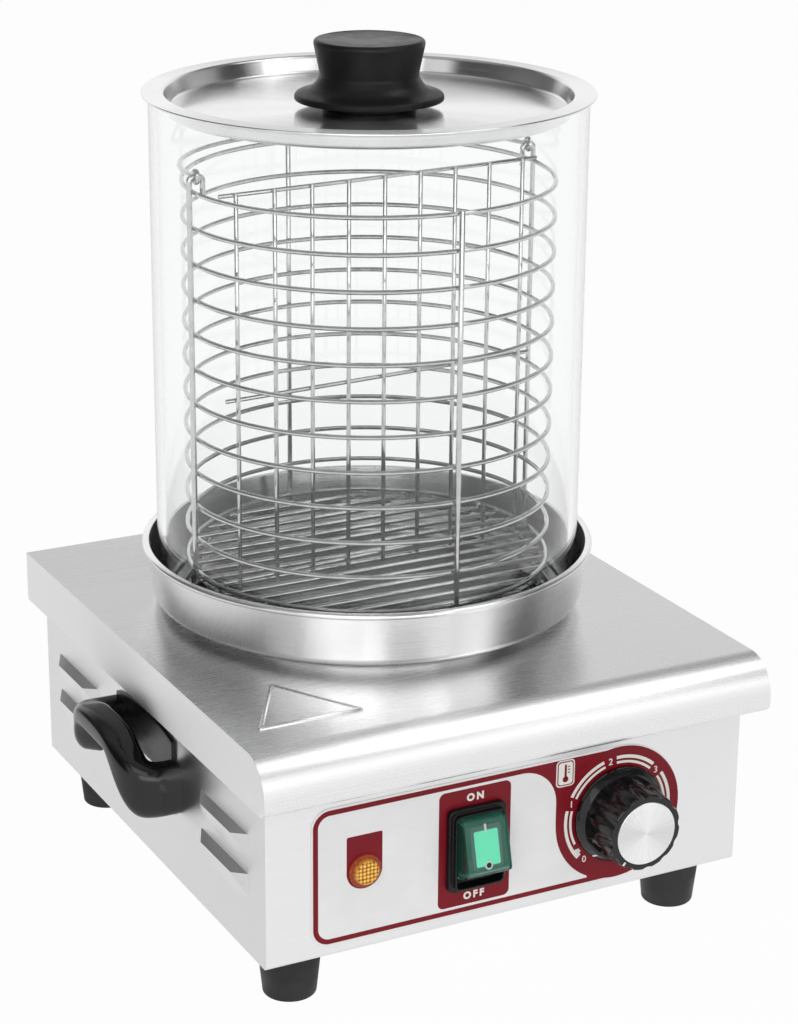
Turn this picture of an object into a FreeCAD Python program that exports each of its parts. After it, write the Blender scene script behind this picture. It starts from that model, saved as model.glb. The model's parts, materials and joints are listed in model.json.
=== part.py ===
"""Hot dog steamer: heated base with controls, water pan, glass cylinder, lid and sausage basket.

Millimetres, +Z up, front towards -Y. The origin is on the table under the middle of the object.
Every piece is written to parts/NODE.step.
"""
import FreeCAD
import Part
import math
import os

Vector = FreeCAD.Vector
UP = Vector(0, 0, 1)
RIGHT = Vector(1, 0, 0)
BACK = Vector(0, 1, 0)
FULL_TURN = 360.0
QUARTER_TURN = 90.0

# General clearances
sliding_gap = 0.3        # beside loose pieces and round sheet cut-outs
running_gap = 0.05       # round shafts and pins in their bores
weld_gap = 0.02          # between wires that are spot welded side by side
rest_gap = 0.25          # between round wires of loose pieces that rest on one another
overrun = 1.0            # how far a cutting tool passes a face
shortest_run = 0.001     # straight runs below this are left out

# Base housing, folded from sheet
sheet = 1.0
body_width = 241.0
body_depth = 262.5
body_height = 102.8      # from its underside to the underside of the cover
bottom_flange = 37.0     # inward fold along both sides, which carries the feet
front_flange = 12.0      # other inward folds
rear_screw_shares = (0.15, 0.85)
vent_rows = 6
vent_column_share = 0.75 # middle of each column of slots, in slot lengths
vent_share = 1 / 7       # length of a slot in the width of the housing
fold_radius = 2.0        # outside of the fold under the front panel

# Top cover
cover_sheet = 1.0
cover_front = 14.0       # overhang over the front panel
cover_side = 6.5
cover_rear = 8.6
cover_skirt = 24.9
cover_bend = 17.0        # outer radius along the front edge
cover_corner = 4.0       # lower front corners of the skirt
warning_depth = 0.6      # raised triangle, pressed into the cover
warning_width = 51.0
warning_length = 43.5
warning_left = 114.0     # its left corner, from the middle
warning_front = 17.3     # its front edge, behind the front edge of the flat top
warning_round = 4.0

# Side louvres
louvre_length = 50.5
louvre_height = 11.0
louvre_out = 4.4
louvre_mouth = 1.9       # how far its lower edge stands out, open downwards
louvre_drop = 2.2        # fall of its upper wall
louvre_slope = 9.0       # length of each sloping end
louvre_inset = 18.0      # from the front or rear face of the housing
louvre_low = 27.7        # lower row above the housing's underside
louvre_pitch = 19.0
louvre_wall = 0.8

# Feet
foot_height = 25.0
foot_top_radius = 14.6
foot_bottom_radius = 12.0
foot_inset_side = 21.3   # centre from the side faces
foot_inset_end = 22.0    # centre from the front and rear faces
foot_bore = 6.5
foot_floor = 9.0         # rubber between the screw head and the housing
foot_edge = 1.2

# Screws and nuts
m3_radius = 1.5
m3_head_radius = 2.8
m3_head_height = 1.8
m4_radius = 2.0
m5_radius = 2.5
m4_head_radius = 3.8
m4_head_height = 2.4
m5_head_radius = 4.6
m5_head_height = 3.0
m4_nut_flats = 7.0
m4_nut_height = 3.2
m5_nut_flats = 8.0
m5_nut_height = 4.0
screw_hole_gap = 0.2

# Side handles
handle_length = 82.0
handle_height = 38.0
handle_reach = 27.5
handle_low = 34.5        # its lowest point above the housing's underside
handle_bar = 15.5        # thickness of the bar, outwards
handle_bar_height = 11.0
handle_leg = 11.0        # length of each leg along the side
handle_lobe = 5.0        # rounding of the legs' lower ends
handle_arch_round = 12.0 # under the bar, where it meets the legs
handle_shoulder = 8.0    # fall of the top from its middle to each end
handle_crown_round = 16.0
handle_heel = 3.0        # rise of the legs' lower ends towards the wall
handle_toe = 13.0        # where a leg is lowest, from the wall
handle_cheek = 16.0      # rise of the legs' lower ends towards the outer side
handle_top_round = 10.0
handle_low_round = 8.0
handle_end_round = 16.0
handle_screw_depth = 16.0
handle_ramp = 12.0       # how far the arch slopes in above each leg

# Front panel: label and control positions
control_height = 38.3    # centre line of all controls above the housing's underside
label_thickness = 0.3
label_height = 66.0
label_left = 99.2        # left edge from the middle
label_corner = 9.0
lamp_x = -73.5
switch_x = -19.0
dial_x = 55.2

# Signal lamp
lamp_barrel_radius = 5.6
lamp_barrel = 26.0
lamp_lap = 2.2           # how far the rim covers the edge of the hole
lamp_rim = 1.5
lamp_ledge = 1.4         # flat of the rim round the dome
lamp_dome = 3.6
lamp_dome_share = 0.86   # width of the dome's front
lamp_nut_wall = 3.0
lamp_nut_thickness = 3.0
lamp_tag_width = 2.8
lamp_tag_length = 7.0
tag_thickness = 0.8

# Switch
bezel_width = 28.6
bezel_height = 40.0
bezel_depth = 3.2
bezel_corner = 3.0
tier_inset = 1.9         # second step inside the edge of the first
tier_depth = 2.8
tier_wall = 0.9
bezel_lap = 1.8          # how far the bezel covers the body that passes the panel
switch_behind = 24.0
switch_wall = 0.9
switch_cavity = 16.0     # depth behind the panel's face
rocker_tilt = 14.0       # degrees that the rocker leans each way
rocker_pivot = 5.0       # pin behind the panel's face
rocker_side_gap = 0.4    # between the clear cover and the bezel
rocker_end_gap = 1.0
rocker_top_share = 0.75  # length of its flat face
rocker_face = 11.8       # face in front of the panel
rocker_round = 2.6
rocker_root = 8.0        # half height behind the panel
rocker_back = 3.6        # material behind the pin
rocker_pin_radius = 1.5
cap_wall = 1.0           # clear cover on the rocker
cap_corner = 5.0         # seen from the front
switch_tag_width = 4.8
switch_tag_length = 8.0

# Thermostat and its knob
knob_skirt_radius = 23.0
knob_skirt = 5.0         # depth of the skirt
knob_skirt_edge = 2.0
knob_slope = 2.2         # how far the skirt leans in to its ridge
knob_gap = 1.2           # between the knob and the label
knob_front = 24.6        # front face of the grip before the panel
knob_ledge = 1.4         # flat between the ridge and the grip
knob_taper = 1.2         # how far the grip narrows to its front
knob_flutes = 12
knob_flute_radius = 4.6
knob_flute_depth = 1.1
knob_hollow_wall = 5.5
knob_hollow = 3.6
knob_cap_margin = 3.2    # black edge round the disc
knob_cap = 1.0           # disc thickness
knob_cap_seat = 0.4      # depth of its seat in the grip
knob_boss_radius = 6.5
pointer_angle = 230.0    # direction of the pointer at zero, anticlockwise from the right
shaft_radius = 3.0
shaft_flat = 1.6         # distance from the axis to the flat
shaft_length = 17.0      # in front of the panel
shaft_behind = 8.0
collar_radius = 5.0
thermostat_width = 33.0
thermostat_height = 27.0
thermostat_depth = 30.0
thermostat_edge = 2.5    # from its screws to its sides

# Heating under the pan
plate_inset = 14.3       # inside the edge of the pan's base
plate_lap = 8.3          # how far its flange reaches under the cover
plate_flange = 3.0
element_ring_radius = 50.0
element_radius = 4.0
element_sunk = 2.0
element_gap_angle = 60.0
element_pin_radius = 1.6
element_pin = 22.0
clamp_margin = 12.0      # past the middle of the element
clamp_thickness = 2.0
clamp_stud_reach = 30.0  # studs at each side of the middle
clamp_stud_length = 26.0
bulb_radius = 3.0
bulb_length = 60.0
capillary_radius = 0.8
capillary_bend = 9.0
clip_width = 12.0
clip_length = 22.0
clip_thickness = 2.0
clip_overlap = 8.0       # under the plate's flange
clip_stud_length = 12.0
shield_margin = 4.0      # past the flange of the plate
shield_sheet = 0.8
shield_rim = 9.0
shield_drop = 16.0       # from the clamp to the shield
cutout_radius = 8.0
cutout_height = 7.0
cutout_x = -34.0

# Supply entry at the rear
gland_radius = 12.0
gland_bore = 4.5
gland_body = 7.0
gland_dome = 7.0
gland_dome_shares = (0.86, 0.62)
gland_thread_radius = 9.8
gland_thread = 10.0
gland_nut_thickness = 5.0
gland_nut_flats = 24.0
gland_inset = 50.5       # from the side face
gland_height = 28.0
earth_inset = 20.5       # from the side face
earth_height = 28.0
earth_length = 11.0
terminal_width = 11.0
terminal_depth = 22.0
terminal_height = 17.0
terminal_poles = 3
terminal_bore = 2.4
terminal_screw_shares = (0.3, 0.7)
terminal_screw_radius = 2.0

# Water pan, heights from the top of the cover
pan_x = 0.0
pan_back = 143.35        # its axis behind the front panel
pan_sheet = 0.8
pan_room = 2.6           # between the glass and the wall at its foot
pan_flare = 2.3          # how far the wall leans outwards
pan_lip = 2.4            # width of the rolled rim outside the wall
pan_shoulder = 12.6      # width of the ledge under the glass
pan_step = 5.2           # upper face of the ledge for the glass
pan_height = 31.5
pan_rim = 2.6
pan_roll_share = 0.45
pan_bend = 4.0
pan_base_bend = 3.0

# Rack in the pan
rack_wire = 1.25
rack_bars = 15
rack_end_share = 0.69    # free width beside the outer bars, in pitches
rack_ring_inset = 4.3    # ring under the bars, inside their ends
rack_ring_wire = 1.5
rack_overhang = 0.8      # how far the bars reach past the basket's rings
rack_leg_radius = 2.0
rack_leg_angles = (30.0, 150.0, 210.0, 330.0)
rack_foot_radius = 3.6
rack_foot = 7.0

# Basket
basket_rings = 12
basket_room = 10.5       # between the middle of the ring wire and the glass
ring_wire = 1.1
basket_clear = 38.3      # from the highest ring to the top of the glass
ring_low = 25.2          # lowest ring above the top of the cover
upright_wire = 1.25
upright_below = 4.1      # below the lowest ring
upright_above = 1.9      # plain uprights above the highest ring
hook_rise = 7.2          # hook wire above the highest ring
hook_width = 6.1         # between the two legs of a hook, centre to centre
hook_stub = 10.0
hook_bend = 1.9
divider_wire = 1.0
divider_bars = 9
divider_shift = 14.0     # in front of the basket's axis
divider_turn = 4.5       # degrees
divider_middle_share = 0.492    # height of the middle wire between the lowest and highest rings
bail_wire = 1.1
bail_shank = 4.9

# Glass and lid
glass_radius = 100.0
glass_wall = 4.0
glass_round = 1.6        # fire-polished edges
glass_top = 243.9        # above the top of the cover
lid_sheet = 1.0
lid_overhang = 3.0       # past the glass
lid_edge = 0.4
lid_play = 2.0           # between the recess and the inside of the glass
lid_slope = 2.5          # how far the wall of the recess leans inwards
lid_recess = 8.0
lid_bend = 1.2
lid_knob_skirt_radius = 34.0
lid_knob_head_radius = 25.9
lid_knob_waist_radius = 22.4
lid_knob_foot_radius = 21.0
lid_knob_foot = 3.7
lid_knob_skirt_edge = 2.6
lid_knob_flare_radius = 25.6
lid_knob_flare = 8.8     # hollow of the flare above the recess floor
lid_knob_neck = 14.8     # waist above the recess floor
lid_knob_neck_round = 0.8
lid_knob_height = 31.6
lid_knob_dish = 0.9
lid_knob_round = 3.0
lid_insert_depth = 18.0

# Places worked out from the sizes above
bottom_z = foot_height
glass_bore = glass_radius - glass_wall
ring_radius = glass_bore - basket_room
ring_pitch = (glass_top - ring_low - basket_clear) / (basket_rings - 1)
rack_bar_radius = ring_radius + rack_overhang
rack_ring_radius = rack_bar_radius - rack_ring_inset
rack_pitch = 2 * rack_bar_radius / (rack_bars + rack_end_share)
divider_pitch = 2 * ring_radius / divider_bars
divider_middle = ring_low + (basket_rings - 1) * ring_pitch * divider_middle_share
pan_wall_radius = glass_radius + pan_room
pan_top_radius = pan_wall_radius + pan_flare
pan_rim_radius = pan_top_radius + pan_lip
pan_base_radius = pan_wall_radius - pan_shoulder
lid_radius = glass_radius + lid_overhang
lid_rim_radius = glass_bore - lid_play
lid_floor_radius = lid_rim_radius - lid_slope
plate_radius = pan_base_radius - plate_inset
plate_flange_radius = plate_radius + plate_lap
shield_radius = plate_flange_radius + shield_margin
clamp_radius = element_ring_radius + clamp_margin
lamp_rim_radius = lamp_barrel_radius + lamp_lap
lamp_dome_radius = lamp_rim_radius - lamp_ledge
lamp_nut_radius = lamp_barrel_radius + lamp_nut_wall
tier_width = bezel_width - 2 * tier_inset
tier_height = bezel_height - 2 * tier_inset
switch_width = bezel_width - 2 * bezel_lap
switch_height = bezel_height - 2 * bezel_lap
rocker_width = tier_width - 2 * (tier_wall + rocker_side_gap + cap_wall)
rocker_base = tier_height - 2 * (tier_wall + rocker_end_gap + cap_wall)
rocker_top = rocker_base * rocker_top_share
knob_ridge_radius = knob_skirt_radius - knob_slope
knob_root_radius = knob_ridge_radius - knob_ledge
knob_grip_radius = knob_root_radius - knob_taper
knob_hollow_radius = knob_skirt_radius - knob_hollow_wall
knob_cap_radius = knob_grip_radius - knob_cap_margin
thermostat_screw_pitch = thermostat_width - 2 * thermostat_edge
cover_under = bottom_z + body_height
cover_top = cover_under + cover_sheet
knob_reach = knob_front - knob_cap_seat + knob_cap
gland_reach = gland_body + gland_dome
front_y = -(body_depth + max(gland_reach, cover_rear) - max(knob_reach, cover_front)) / 2
rear_y = front_y + body_depth
side_x = body_width / 2
gland_x = side_x - gland_inset
earth_x = side_x - earth_inset
pan_y = front_y + pan_back
AXIS = Vector(pan_x, pan_y, 0)
control_z = bottom_z + control_height
top_fold = cover_bend - cover_front + sliding_gap
plate_bottom = cover_under - plate_flange
element_z = plate_bottom + element_sunk - element_radius
clamp_top = element_z - element_radius
clamp_bottom = clamp_top - clamp_thickness
ring_bottom_z = cover_top + ring_low
ring_top_z = ring_bottom_z + (basket_rings - 1) * ring_pitch
upright_radius = ring_radius + ring_wire + upright_wire + weld_gap
rack_top = ring_bottom_z - ring_wire - rest_gap
glass_bottom_z = cover_top + pan_step
glass_top_z = cover_top + glass_top
lid_top = glass_top_z + lid_sheet
lid_floor_z = lid_top - lid_recess


def box(x0, x1, y0, y1, z0, z1):
    """Box between two values on each axis."""
    return Part.makeBox(x1 - x0, y1 - y0, z1 - z0, Vector(x0, y0, z0))


def cylinder(radius, length, at, axis=UP):
    return Part.makeCylinder(radius, length, at, axis)


def rod_between(start, end, radius):
    run = end - start
    return Part.makeCylinder(radius, run.Length, start, run)


def on_circle(radius, angle, z, centre=AXIS):
    turn = math.radians(angle)
    return Vector(centre.x + radius * math.cos(turn), centre.y + radius * math.sin(turn), z)


def rounded_edges(corners, closed):
    """Straight runs through the corners, each (point, radius), joined by tangent arcs."""
    count = len(corners)
    starts = []
    ends = []
    arcs = []
    for index, (point, radius) in enumerate(corners):
        inner = closed or 0 < index < count - 1
        if not inner or radius <= 0:
            starts.append(point)
            ends.append(point)
            arcs.append(None)
            continue
        before = (corners[index - 1][0] - point).normalize()
        after = (corners[(index + 1) % count][0] - point).normalize()
        half = before.getAngle(after) / 2
        middle = (before + after).normalize()
        reach = radius / math.tan(half)
        starts.append(point + before * reach)
        ends.append(point + after * reach)
        crown = point + middle * (radius / math.sin(half) - radius)
        arcs.append(Part.Arc(starts[-1], crown, ends[-1]).toShape())
    edges = []
    for index in range(count):
        if arcs[index] is not None:
            edges.append(arcs[index])
        if index < count - 1 or closed:
            start = ends[index]
            end = starts[(index + 1) % count]
            if (end - start).Length > shortest_run:
                edges.append(Part.LineSegment(start, end).toShape())
    return edges


def face_of(corners):
    return Part.Face(Part.Wire(rounded_edges(corners, True)))


def revolved(profile, centre=AXIS):
    """Turned solid. The profile holds (radius, height, rounding) corners."""
    corners = [(Vector(centre.x + r, centre.y, z), rounding) for r, z, rounding in profile]
    axis_point = Vector(centre.x, centre.y, 0)
    return face_of(corners).revolve(axis_point, UP, FULL_TURN)


def turned_front(profile, x, z):
    """Turned solid with its axis towards the front. The profile holds (radius, distance, rounding),
    where the distance is measured forwards from the front panel."""
    corners = [(Vector(x + r, front_y - d, z), rounding) for r, d, rounding in profile]
    return face_of(corners).revolve(Vector(x, front_y, z), BACK, FULL_TURN)


def bent_rod(corners, radius):
    """Round wire or tube along straight runs with tangent bends."""
    path = Part.Wire(rounded_edges(corners, False))
    start = corners[0][0]
    section = Part.Circle(start, corners[1][0] - start, radius).toShape()
    return path.makePipeShell([Part.Wire([section])], True, True)


def front_plate(x, z, width, height, corner, front, back):
    """Plate parallel to the front panel with rounded corners. Distances run forwards from the panel."""
    w = width / 2
    h = height / 2
    y = front_y - front
    corners = [(Vector(x + a * w, y, z + b * h), corner) for a, b in ((-1, -1), (1, -1), (1, 1), (-1, 1))]
    return face_of(corners).extrude(BACK * (front - back))


def hexagon(flats, height, at, axis=UP, bore=0):
    """Hexagonal nut or head with an optional bore."""
    points = []
    radius = flats / math.sqrt(3)
    for step in range(7):
        turn = math.radians(step * FULL_TURN / 6)
        points.append(Vector(radius * math.cos(turn), radius * math.sin(turn), 0))
    nut = Part.Face(Part.makePolygon(points)).extrude(UP * height)
    if bore > 0:
        nut = nut.cut(Part.makeCylinder(bore, height))
    nut.Placement = FreeCAD.Placement(at, FreeCAD.Rotation(UP, axis))
    return nut


def screw(shank_radius, length, head_radius, head_height, at, axis):
    """Screw whose head seats at the point and whose shank runs along the axis."""
    direction = Vector(axis).normalize()
    shank = cylinder(shank_radius, length, at, direction)
    head = cylinder(head_radius, head_height, at - direction * head_height, direction)
    return shank.fuse(head)


def mirrored(shape):
    return shape.mirror(Vector(0, 0, 0), RIGHT)


def group(shapes):
    return Part.makeCompound(shapes)


def save(name, shape):
    shape.exportStep(f"parts/{name}.step")
    print(f"{name}: {len(shape.Solids)} solid(s), {shape.Volume:.0f} mm3")


def foot_centres():
    x = side_x - foot_inset_side
    near = front_y + foot_inset_end
    far = rear_y - foot_inset_end
    return {"front_left": (-x, near), "front_right": (x, near),
            "rear_left": (-x, far), "rear_right": (x, far)}


def handle_screw_places():
    """Points on the left side's outer face where the handle screws pass."""
    reach = handle_length / 2 - handle_leg / 2
    z = bottom_z + handle_low + handle_height / 2
    middle = front_y + body_depth / 2
    return [Vector(-side_x, middle - reach, z), Vector(-side_x, middle + reach, z)]


def cover_stud_places():
    """Studs under the cover that pass the housing's upper folds."""
    x = side_x - sheet - front_flange / 2
    near = front_y + body_depth / 6
    far = rear_y - body_depth / 6
    return [Vector(a, b, cover_under) for a in (-x, x) for b in (near, far)]


def clip_stud_places():
    reach = plate_flange_radius + clip_length - clip_overlap - clip_width / 2
    return [on_circle(reach, angle, cover_under) for angle in (45.0, 135.0, 225.0, 315.0)]


def rear_screw_places():
    x = side_x - sheet - front_flange / 2
    levels = [bottom_z + body_height * share for share in rear_screw_shares]
    return [Vector(a, rear_y, z) for a in (-x, x) for z in levels]


def thermostat_screw_places():
    half = thermostat_screw_pitch / 2
    return [Vector(dial_x - half, front_y, control_z), Vector(dial_x + half, front_y, control_z)]


def louvre_hood(first_y, low_z, wall):
    """Hood of a louvre on the left side, closed at the top and open at the bottom. With a wall it
    is the hollow inside, which runs on through the sheet."""
    y0 = first_y + wall
    y1 = first_y + louvre_length - wall
    high = low_z + louvre_height - wall
    base = -side_x + (sheet if wall > 0 else 0)
    lip = -side_x - louvre_out + wall
    mouth = -side_x - louvre_mouth + wall
    lip0 = y0 + louvre_slope
    lip1 = y1 - louvre_slope
    edge = high - louvre_drop
    low0 = Vector(base, y0, low_z)
    low1 = Vector(base, y1, low_z)
    high0 = Vector(base, y0, high)
    high1 = Vector(base, y1, high)
    edge0 = Vector(lip, lip0, edge)
    edge1 = Vector(lip, lip1, edge)
    mouth0 = Vector(mouth, lip0, low_z)
    mouth1 = Vector(mouth, lip1, low_z)
    faces = [(low0, high0, high1, low1), (high0, edge0, edge1, high1), (edge0, mouth0, mouth1, edge1),
             (low0, low1, mouth1, mouth0), (low0, edge0, high0), (low0, mouth0, edge0),
             (low1, high1, edge1), (low1, edge1, mouth1)]
    shells = [Part.Face(Part.makePolygon(list(points) + [points[0]])) for points in faces]
    return Part.Solid(Part.makeShell(shells))


def louvre_starts():
    near = front_y + louvre_inset
    far = rear_y - louvre_inset - louvre_length
    lows = [bottom_z + louvre_low, bottom_z + louvre_low + louvre_pitch]
    return [(y, z) for y in (near, far) for z in lows]


def rounded_fold(shell, outer, z, up):
    """Rounds the outside and fills the inside of a fold along the front panel."""
    centre = Vector(-side_x, front_y + outer, z + up * outer)
    low = min(z, centre.z)
    roll = cylinder(outer, body_width, centre, RIGHT)
    corner = box(-side_x, side_x, front_y, front_y + outer, low, low + outer)
    inner = cylinder(outer - sheet, body_width - 2 * sheet, centre + RIGHT * sheet, RIGHT)
    edge = z + up * sheet
    room = box(-side_x + sheet, side_x - sheet, front_y + sheet, front_y + outer,
               min(edge, centre.z), max(edge, centre.z))
    return shell.cut(corner.cut(roll)).fuse(room.cut(inner))


def housing_shell():
    """Front and both sides folded from one sheet, with inward folds and pressed louvres."""
    top = cover_under
    inner_y = rear_y - sheet
    shell = box(-side_x, side_x, front_y, front_y + sheet, bottom_z, top)
    left = [box(-side_x, -side_x + sheet, front_y, inner_y, bottom_z, top),
            box(-side_x, -side_x + bottom_flange, front_y, inner_y, bottom_z, bottom_z + sheet),
            box(-side_x, -side_x + front_flange, front_y, inner_y, top - sheet, top),
            box(-side_x, -side_x + front_flange, inner_y - sheet, inner_y, bottom_z, top)]
    for y, z in louvre_starts():
        left.append(louvre_hood(y, z, 0))
    for piece in left:
        shell = shell.fuse(piece).fuse(mirrored(piece))
    folds = [box(-side_x, side_x, front_y, front_y + front_flange, bottom_z, bottom_z + sheet),
             box(-side_x, side_x, front_y, front_y + front_flange, top - sheet, top)]
    for fold in folds:
        shell = shell.fuse(fold)
    for outer, z, up in ((fold_radius, bottom_z, 1), (top_fold, top, -1)):
        shell = rounded_fold(shell, outer, z, up)
    for y, z in louvre_starts():
        hollow = louvre_hood(y, z, louvre_wall)
        shell = shell.cut(hollow).cut(mirrored(hollow))
    for x, y in foot_centres().values():
        shell = shell.cut(cylinder(m5_radius + screw_hole_gap, sheet, Vector(x, y, bottom_z)))
    for place in handle_screw_places():
        hole = cylinder(m5_radius + screw_hole_gap, sheet, place, RIGHT)
        shell = shell.cut(hole).cut(mirrored(hole))
    for place in cover_stud_places():
        shell = shell.cut(cylinder(m4_radius + screw_hole_gap, sheet, place - UP * sheet))
    for place in rear_screw_places():
        start = place - BACK * (2 * sheet)
        shell = shell.cut(cylinder(m4_radius + screw_hole_gap, 2 * sheet, start, BACK))
    return shell.cut(front_holes(0, -sheet)).removeSplitter()


def front_holes(front, back):
    """Cutters for the lamp, the switch and the thermostat between two distances before the panel."""
    length = front - back
    lamp = Vector(lamp_x, front_y - front, control_z)
    dial = Vector(dial_x, front_y - front, control_z)
    switch = front_plate(switch_x, control_z, switch_width + 2 * sliding_gap,
                         switch_height + 2 * sliding_gap, 0, front, back)
    cutters = [cylinder(lamp_barrel_radius + sliding_gap, length, lamp, BACK), switch,
               cylinder(collar_radius + sliding_gap, length, dial, BACK)]
    for place in thermostat_screw_places():
        cutters.append(cylinder(m3_radius + screw_hole_gap, length, place - BACK * front, BACK))
    return group(cutters)


def rear_panel():
    panel = box(-side_x, side_x, rear_y - sheet, rear_y, bottom_z, cover_under)
    for place in rear_screw_places():
        panel = panel.cut(cylinder(m4_radius + screw_hole_gap, sheet, place - BACK * sheet, BACK))
    gland = Vector(gland_x, rear_y - sheet, bottom_z + gland_height)
    panel = panel.cut(cylinder(gland_thread_radius + sliding_gap, sheet, gland, BACK))
    earth = Vector(earth_x, rear_y - sheet, bottom_z + earth_height)
    return panel.cut(cylinder(m5_radius + screw_hole_gap, sheet, earth, BACK))


def bottom_plate():
    """Plate on the lower folds, with rows of vent slots."""
    gap = sliding_gap
    x = side_x - sheet - gap
    y0 = front_y + fold_radius + gap
    y1 = rear_y - 2 * sheet - gap
    plate = box(-x, x, y0, y1, bottom_z + sheet, bottom_z + 2 * sheet)
    for x, y in foot_centres().values():
        plate = plate.cut(cylinder(m5_radius + screw_hole_gap, sheet, Vector(x, y, bottom_z + sheet)))
    slot_length = body_width * vent_share
    slot_width = front_flange / 3
    column = slot_length * vent_column_share
    for row in range(vent_rows):
        y = pan_y + (row - (vent_rows - 1) / 2) * front_flange
        for x in (-column, column):
            plate = plate.cut(box(x - slot_length / 2, x + slot_length / 2, y, y + slot_width,
                                  bottom_z + sheet, bottom_z + 2 * sheet))
    return plate


def triangle_prism(width, length, rounding, low, high):
    """Upright prism over the warning triangle, its apex towards the rear."""
    x = -warning_left + warning_width / 2
    y = front_y - cover_front + cover_bend + warning_front
    corners = [(Vector(x - width / 2, y, low), rounding), (Vector(x + width / 2, y, low), rounding),
               (Vector(x, y + length, low), rounding)]
    return face_of(corners).extrude(UP * (high - low))


def top_cover():
    """Cover with folded skirts and a wide bend along its front edge."""
    x = side_x + cover_side
    y0 = front_y - cover_front
    y1 = rear_y + cover_rear
    low = cover_top - cover_skirt
    outline = [(Vector(-x, y0, low), cover_corner), (Vector(-x, y1, low), 0), (Vector(-x, y1, cover_top), 0),
               (Vector(-x, y0, cover_top), cover_bend)]
    cover = face_of(outline).extrude(RIGHT * (2 * x))
    corners = [(Vector(-x, y0, low), cover_corner), (Vector(x, y0, low), cover_corner),
               (Vector(x, y0, cover_top), 0), (Vector(-x, y0, cover_top), 0)]
    front = face_of(corners).extrude(BACK * cover_corner)
    cover = cover.common(front.fuse(box(-x, x, y0 + cover_corner, y1, low, cover_top)))
    t = cover_sheet
    inner = [(Vector(-x + t, y0 + t, low - overrun), 0), (Vector(-x + t, y1 - t, low - overrun), 0),
             (Vector(-x + t, y1 - t, cover_under), 0), (Vector(-x + t, y0 + t, cover_under), cover_bend - t)]
    cover = cover.cut(face_of(inner).extrude(RIGHT * (2 * (x - t))))
    cover = cover.fuse(triangle_prism(warning_width, warning_length, warning_round,
                                      cover_under, cover_top + warning_depth))
    cover = cover.cut(cylinder(plate_radius + sliding_gap, cover_sheet, Vector(pan_x, pan_y, cover_under)))
    for place in cover_stud_places():
        cover = cover.fuse(cylinder(m4_radius, clip_stud_length, place - UP * clip_stud_length))
    for place in clip_stud_places():
        cover = cover.fuse(cylinder(m4_radius, clip_stud_length, place - UP * clip_stud_length))
    return cover.removeSplitter()


def foot(x, y):
    """Tapered rubber foot, bored for its screw from below."""
    centre = Vector(x, y, 0)
    blank = revolved([(0, 0, 0), (foot_bottom_radius, 0, foot_edge), (foot_top_radius, foot_height, 0),
                      (0, foot_height, 0)], centre)
    bore = cylinder(foot_bore, foot_height - foot_floor, centre)
    hole = cylinder(m5_radius + screw_hole_gap, foot_height, centre)
    return blank.cut(bore).cut(hole)


def foot_screw(x, y):
    seat = foot_height - foot_floor
    length = foot_floor + 2 * sheet + m5_nut_height + sheet
    return screw(m5_radius, length, m5_head_radius, m5_head_height, Vector(x, y, seat), UP)


def nut(flats, height, bore, at, axis=UP):
    return hexagon(flats, height, at, axis, bore + running_gap)


def handle():
    """Moulded bow handle on the left side: two legs with rounded lower ends and a thick bar."""
    middle = front_y + body_depth / 2
    low = bottom_z + handle_low
    top = low + handle_height
    half = handle_length / 2
    leg = half - handle_leg
    arch = top - handle_bar_height
    inner = leg - handle_ramp
    wall = -side_x
    brow = top - handle_shoulder
    side = [(-half, brow, handle_lobe), (-inner, top, handle_crown_round), (inner, top, handle_crown_round),
            (half, brow, handle_lobe), (half, low, handle_lobe), (leg, low, handle_lobe),
            (inner, arch, handle_arch_round), (-inner, arch, handle_arch_round), (-leg, low, handle_lobe),
            (-half, low, handle_lobe)]
    outline = face_of([(Vector(wall, middle + v, w), r) for v, w, r in side])
    body = outline.extrude(-RIGHT * handle_reach)
    reach = wall - handle_reach
    front = [(wall, low + handle_heel, 0), (wall, top, 0), (reach, top, handle_top_round),
             (reach, low + handle_cheek, handle_low_round), (wall - handle_toe, low, handle_lobe)]
    outline = face_of([(Vector(u, middle - half, w), r) for u, w, r in front])
    body = body.common(outline.extrude(BACK * handle_length))
    plan = [(wall, -half, 0), (reach, -half, handle_end_round), (reach, half, handle_end_round),
            (wall, half, 0)]
    outline = face_of([(Vector(u, middle + v, low), r) for u, v, r in plan])
    body = body.common(outline.extrude(UP * handle_height))
    gap = handle_reach - handle_bar
    bend = gap / 2
    finger = [(wall + overrun, -leg, 0), (wall - gap, -leg, bend), (wall - gap, leg, bend),
              (wall + overrun, leg, 0)]
    outline = face_of([(Vector(u, middle + v, low), r) for u, v, r in finger])
    body = body.cut(outline.extrude(UP * handle_height))
    for place in handle_screw_places():
        depth = handle_screw_depth - sheet + overrun
        body = body.cut(cylinder(m5_radius + running_gap, depth, place, -RIGHT))
    return body


def handle_screw(place):
    seat = place + RIGHT * sheet
    return screw(m5_radius, handle_screw_depth, m5_head_radius, m5_head_height, seat, -RIGHT)


def control_label():
    """Printed film on the front panel, round at the dial end."""
    half = label_height / 2
    back = front_y
    corners = [(-label_left, -half, label_corner), (dial_x, -half, 0), (dial_x, half, 0),
               (-label_left, half, label_corner)]
    points = [(Vector(x, back - label_thickness, control_z + z), r) for x, z, r in corners]
    film = face_of(points).extrude(BACK * label_thickness)
    end = cylinder(half, label_thickness, Vector(dial_x, back - label_thickness, control_z), BACK)
    return film.fuse(end).cut(front_holes(label_thickness, 0)).removeSplitter()


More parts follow.
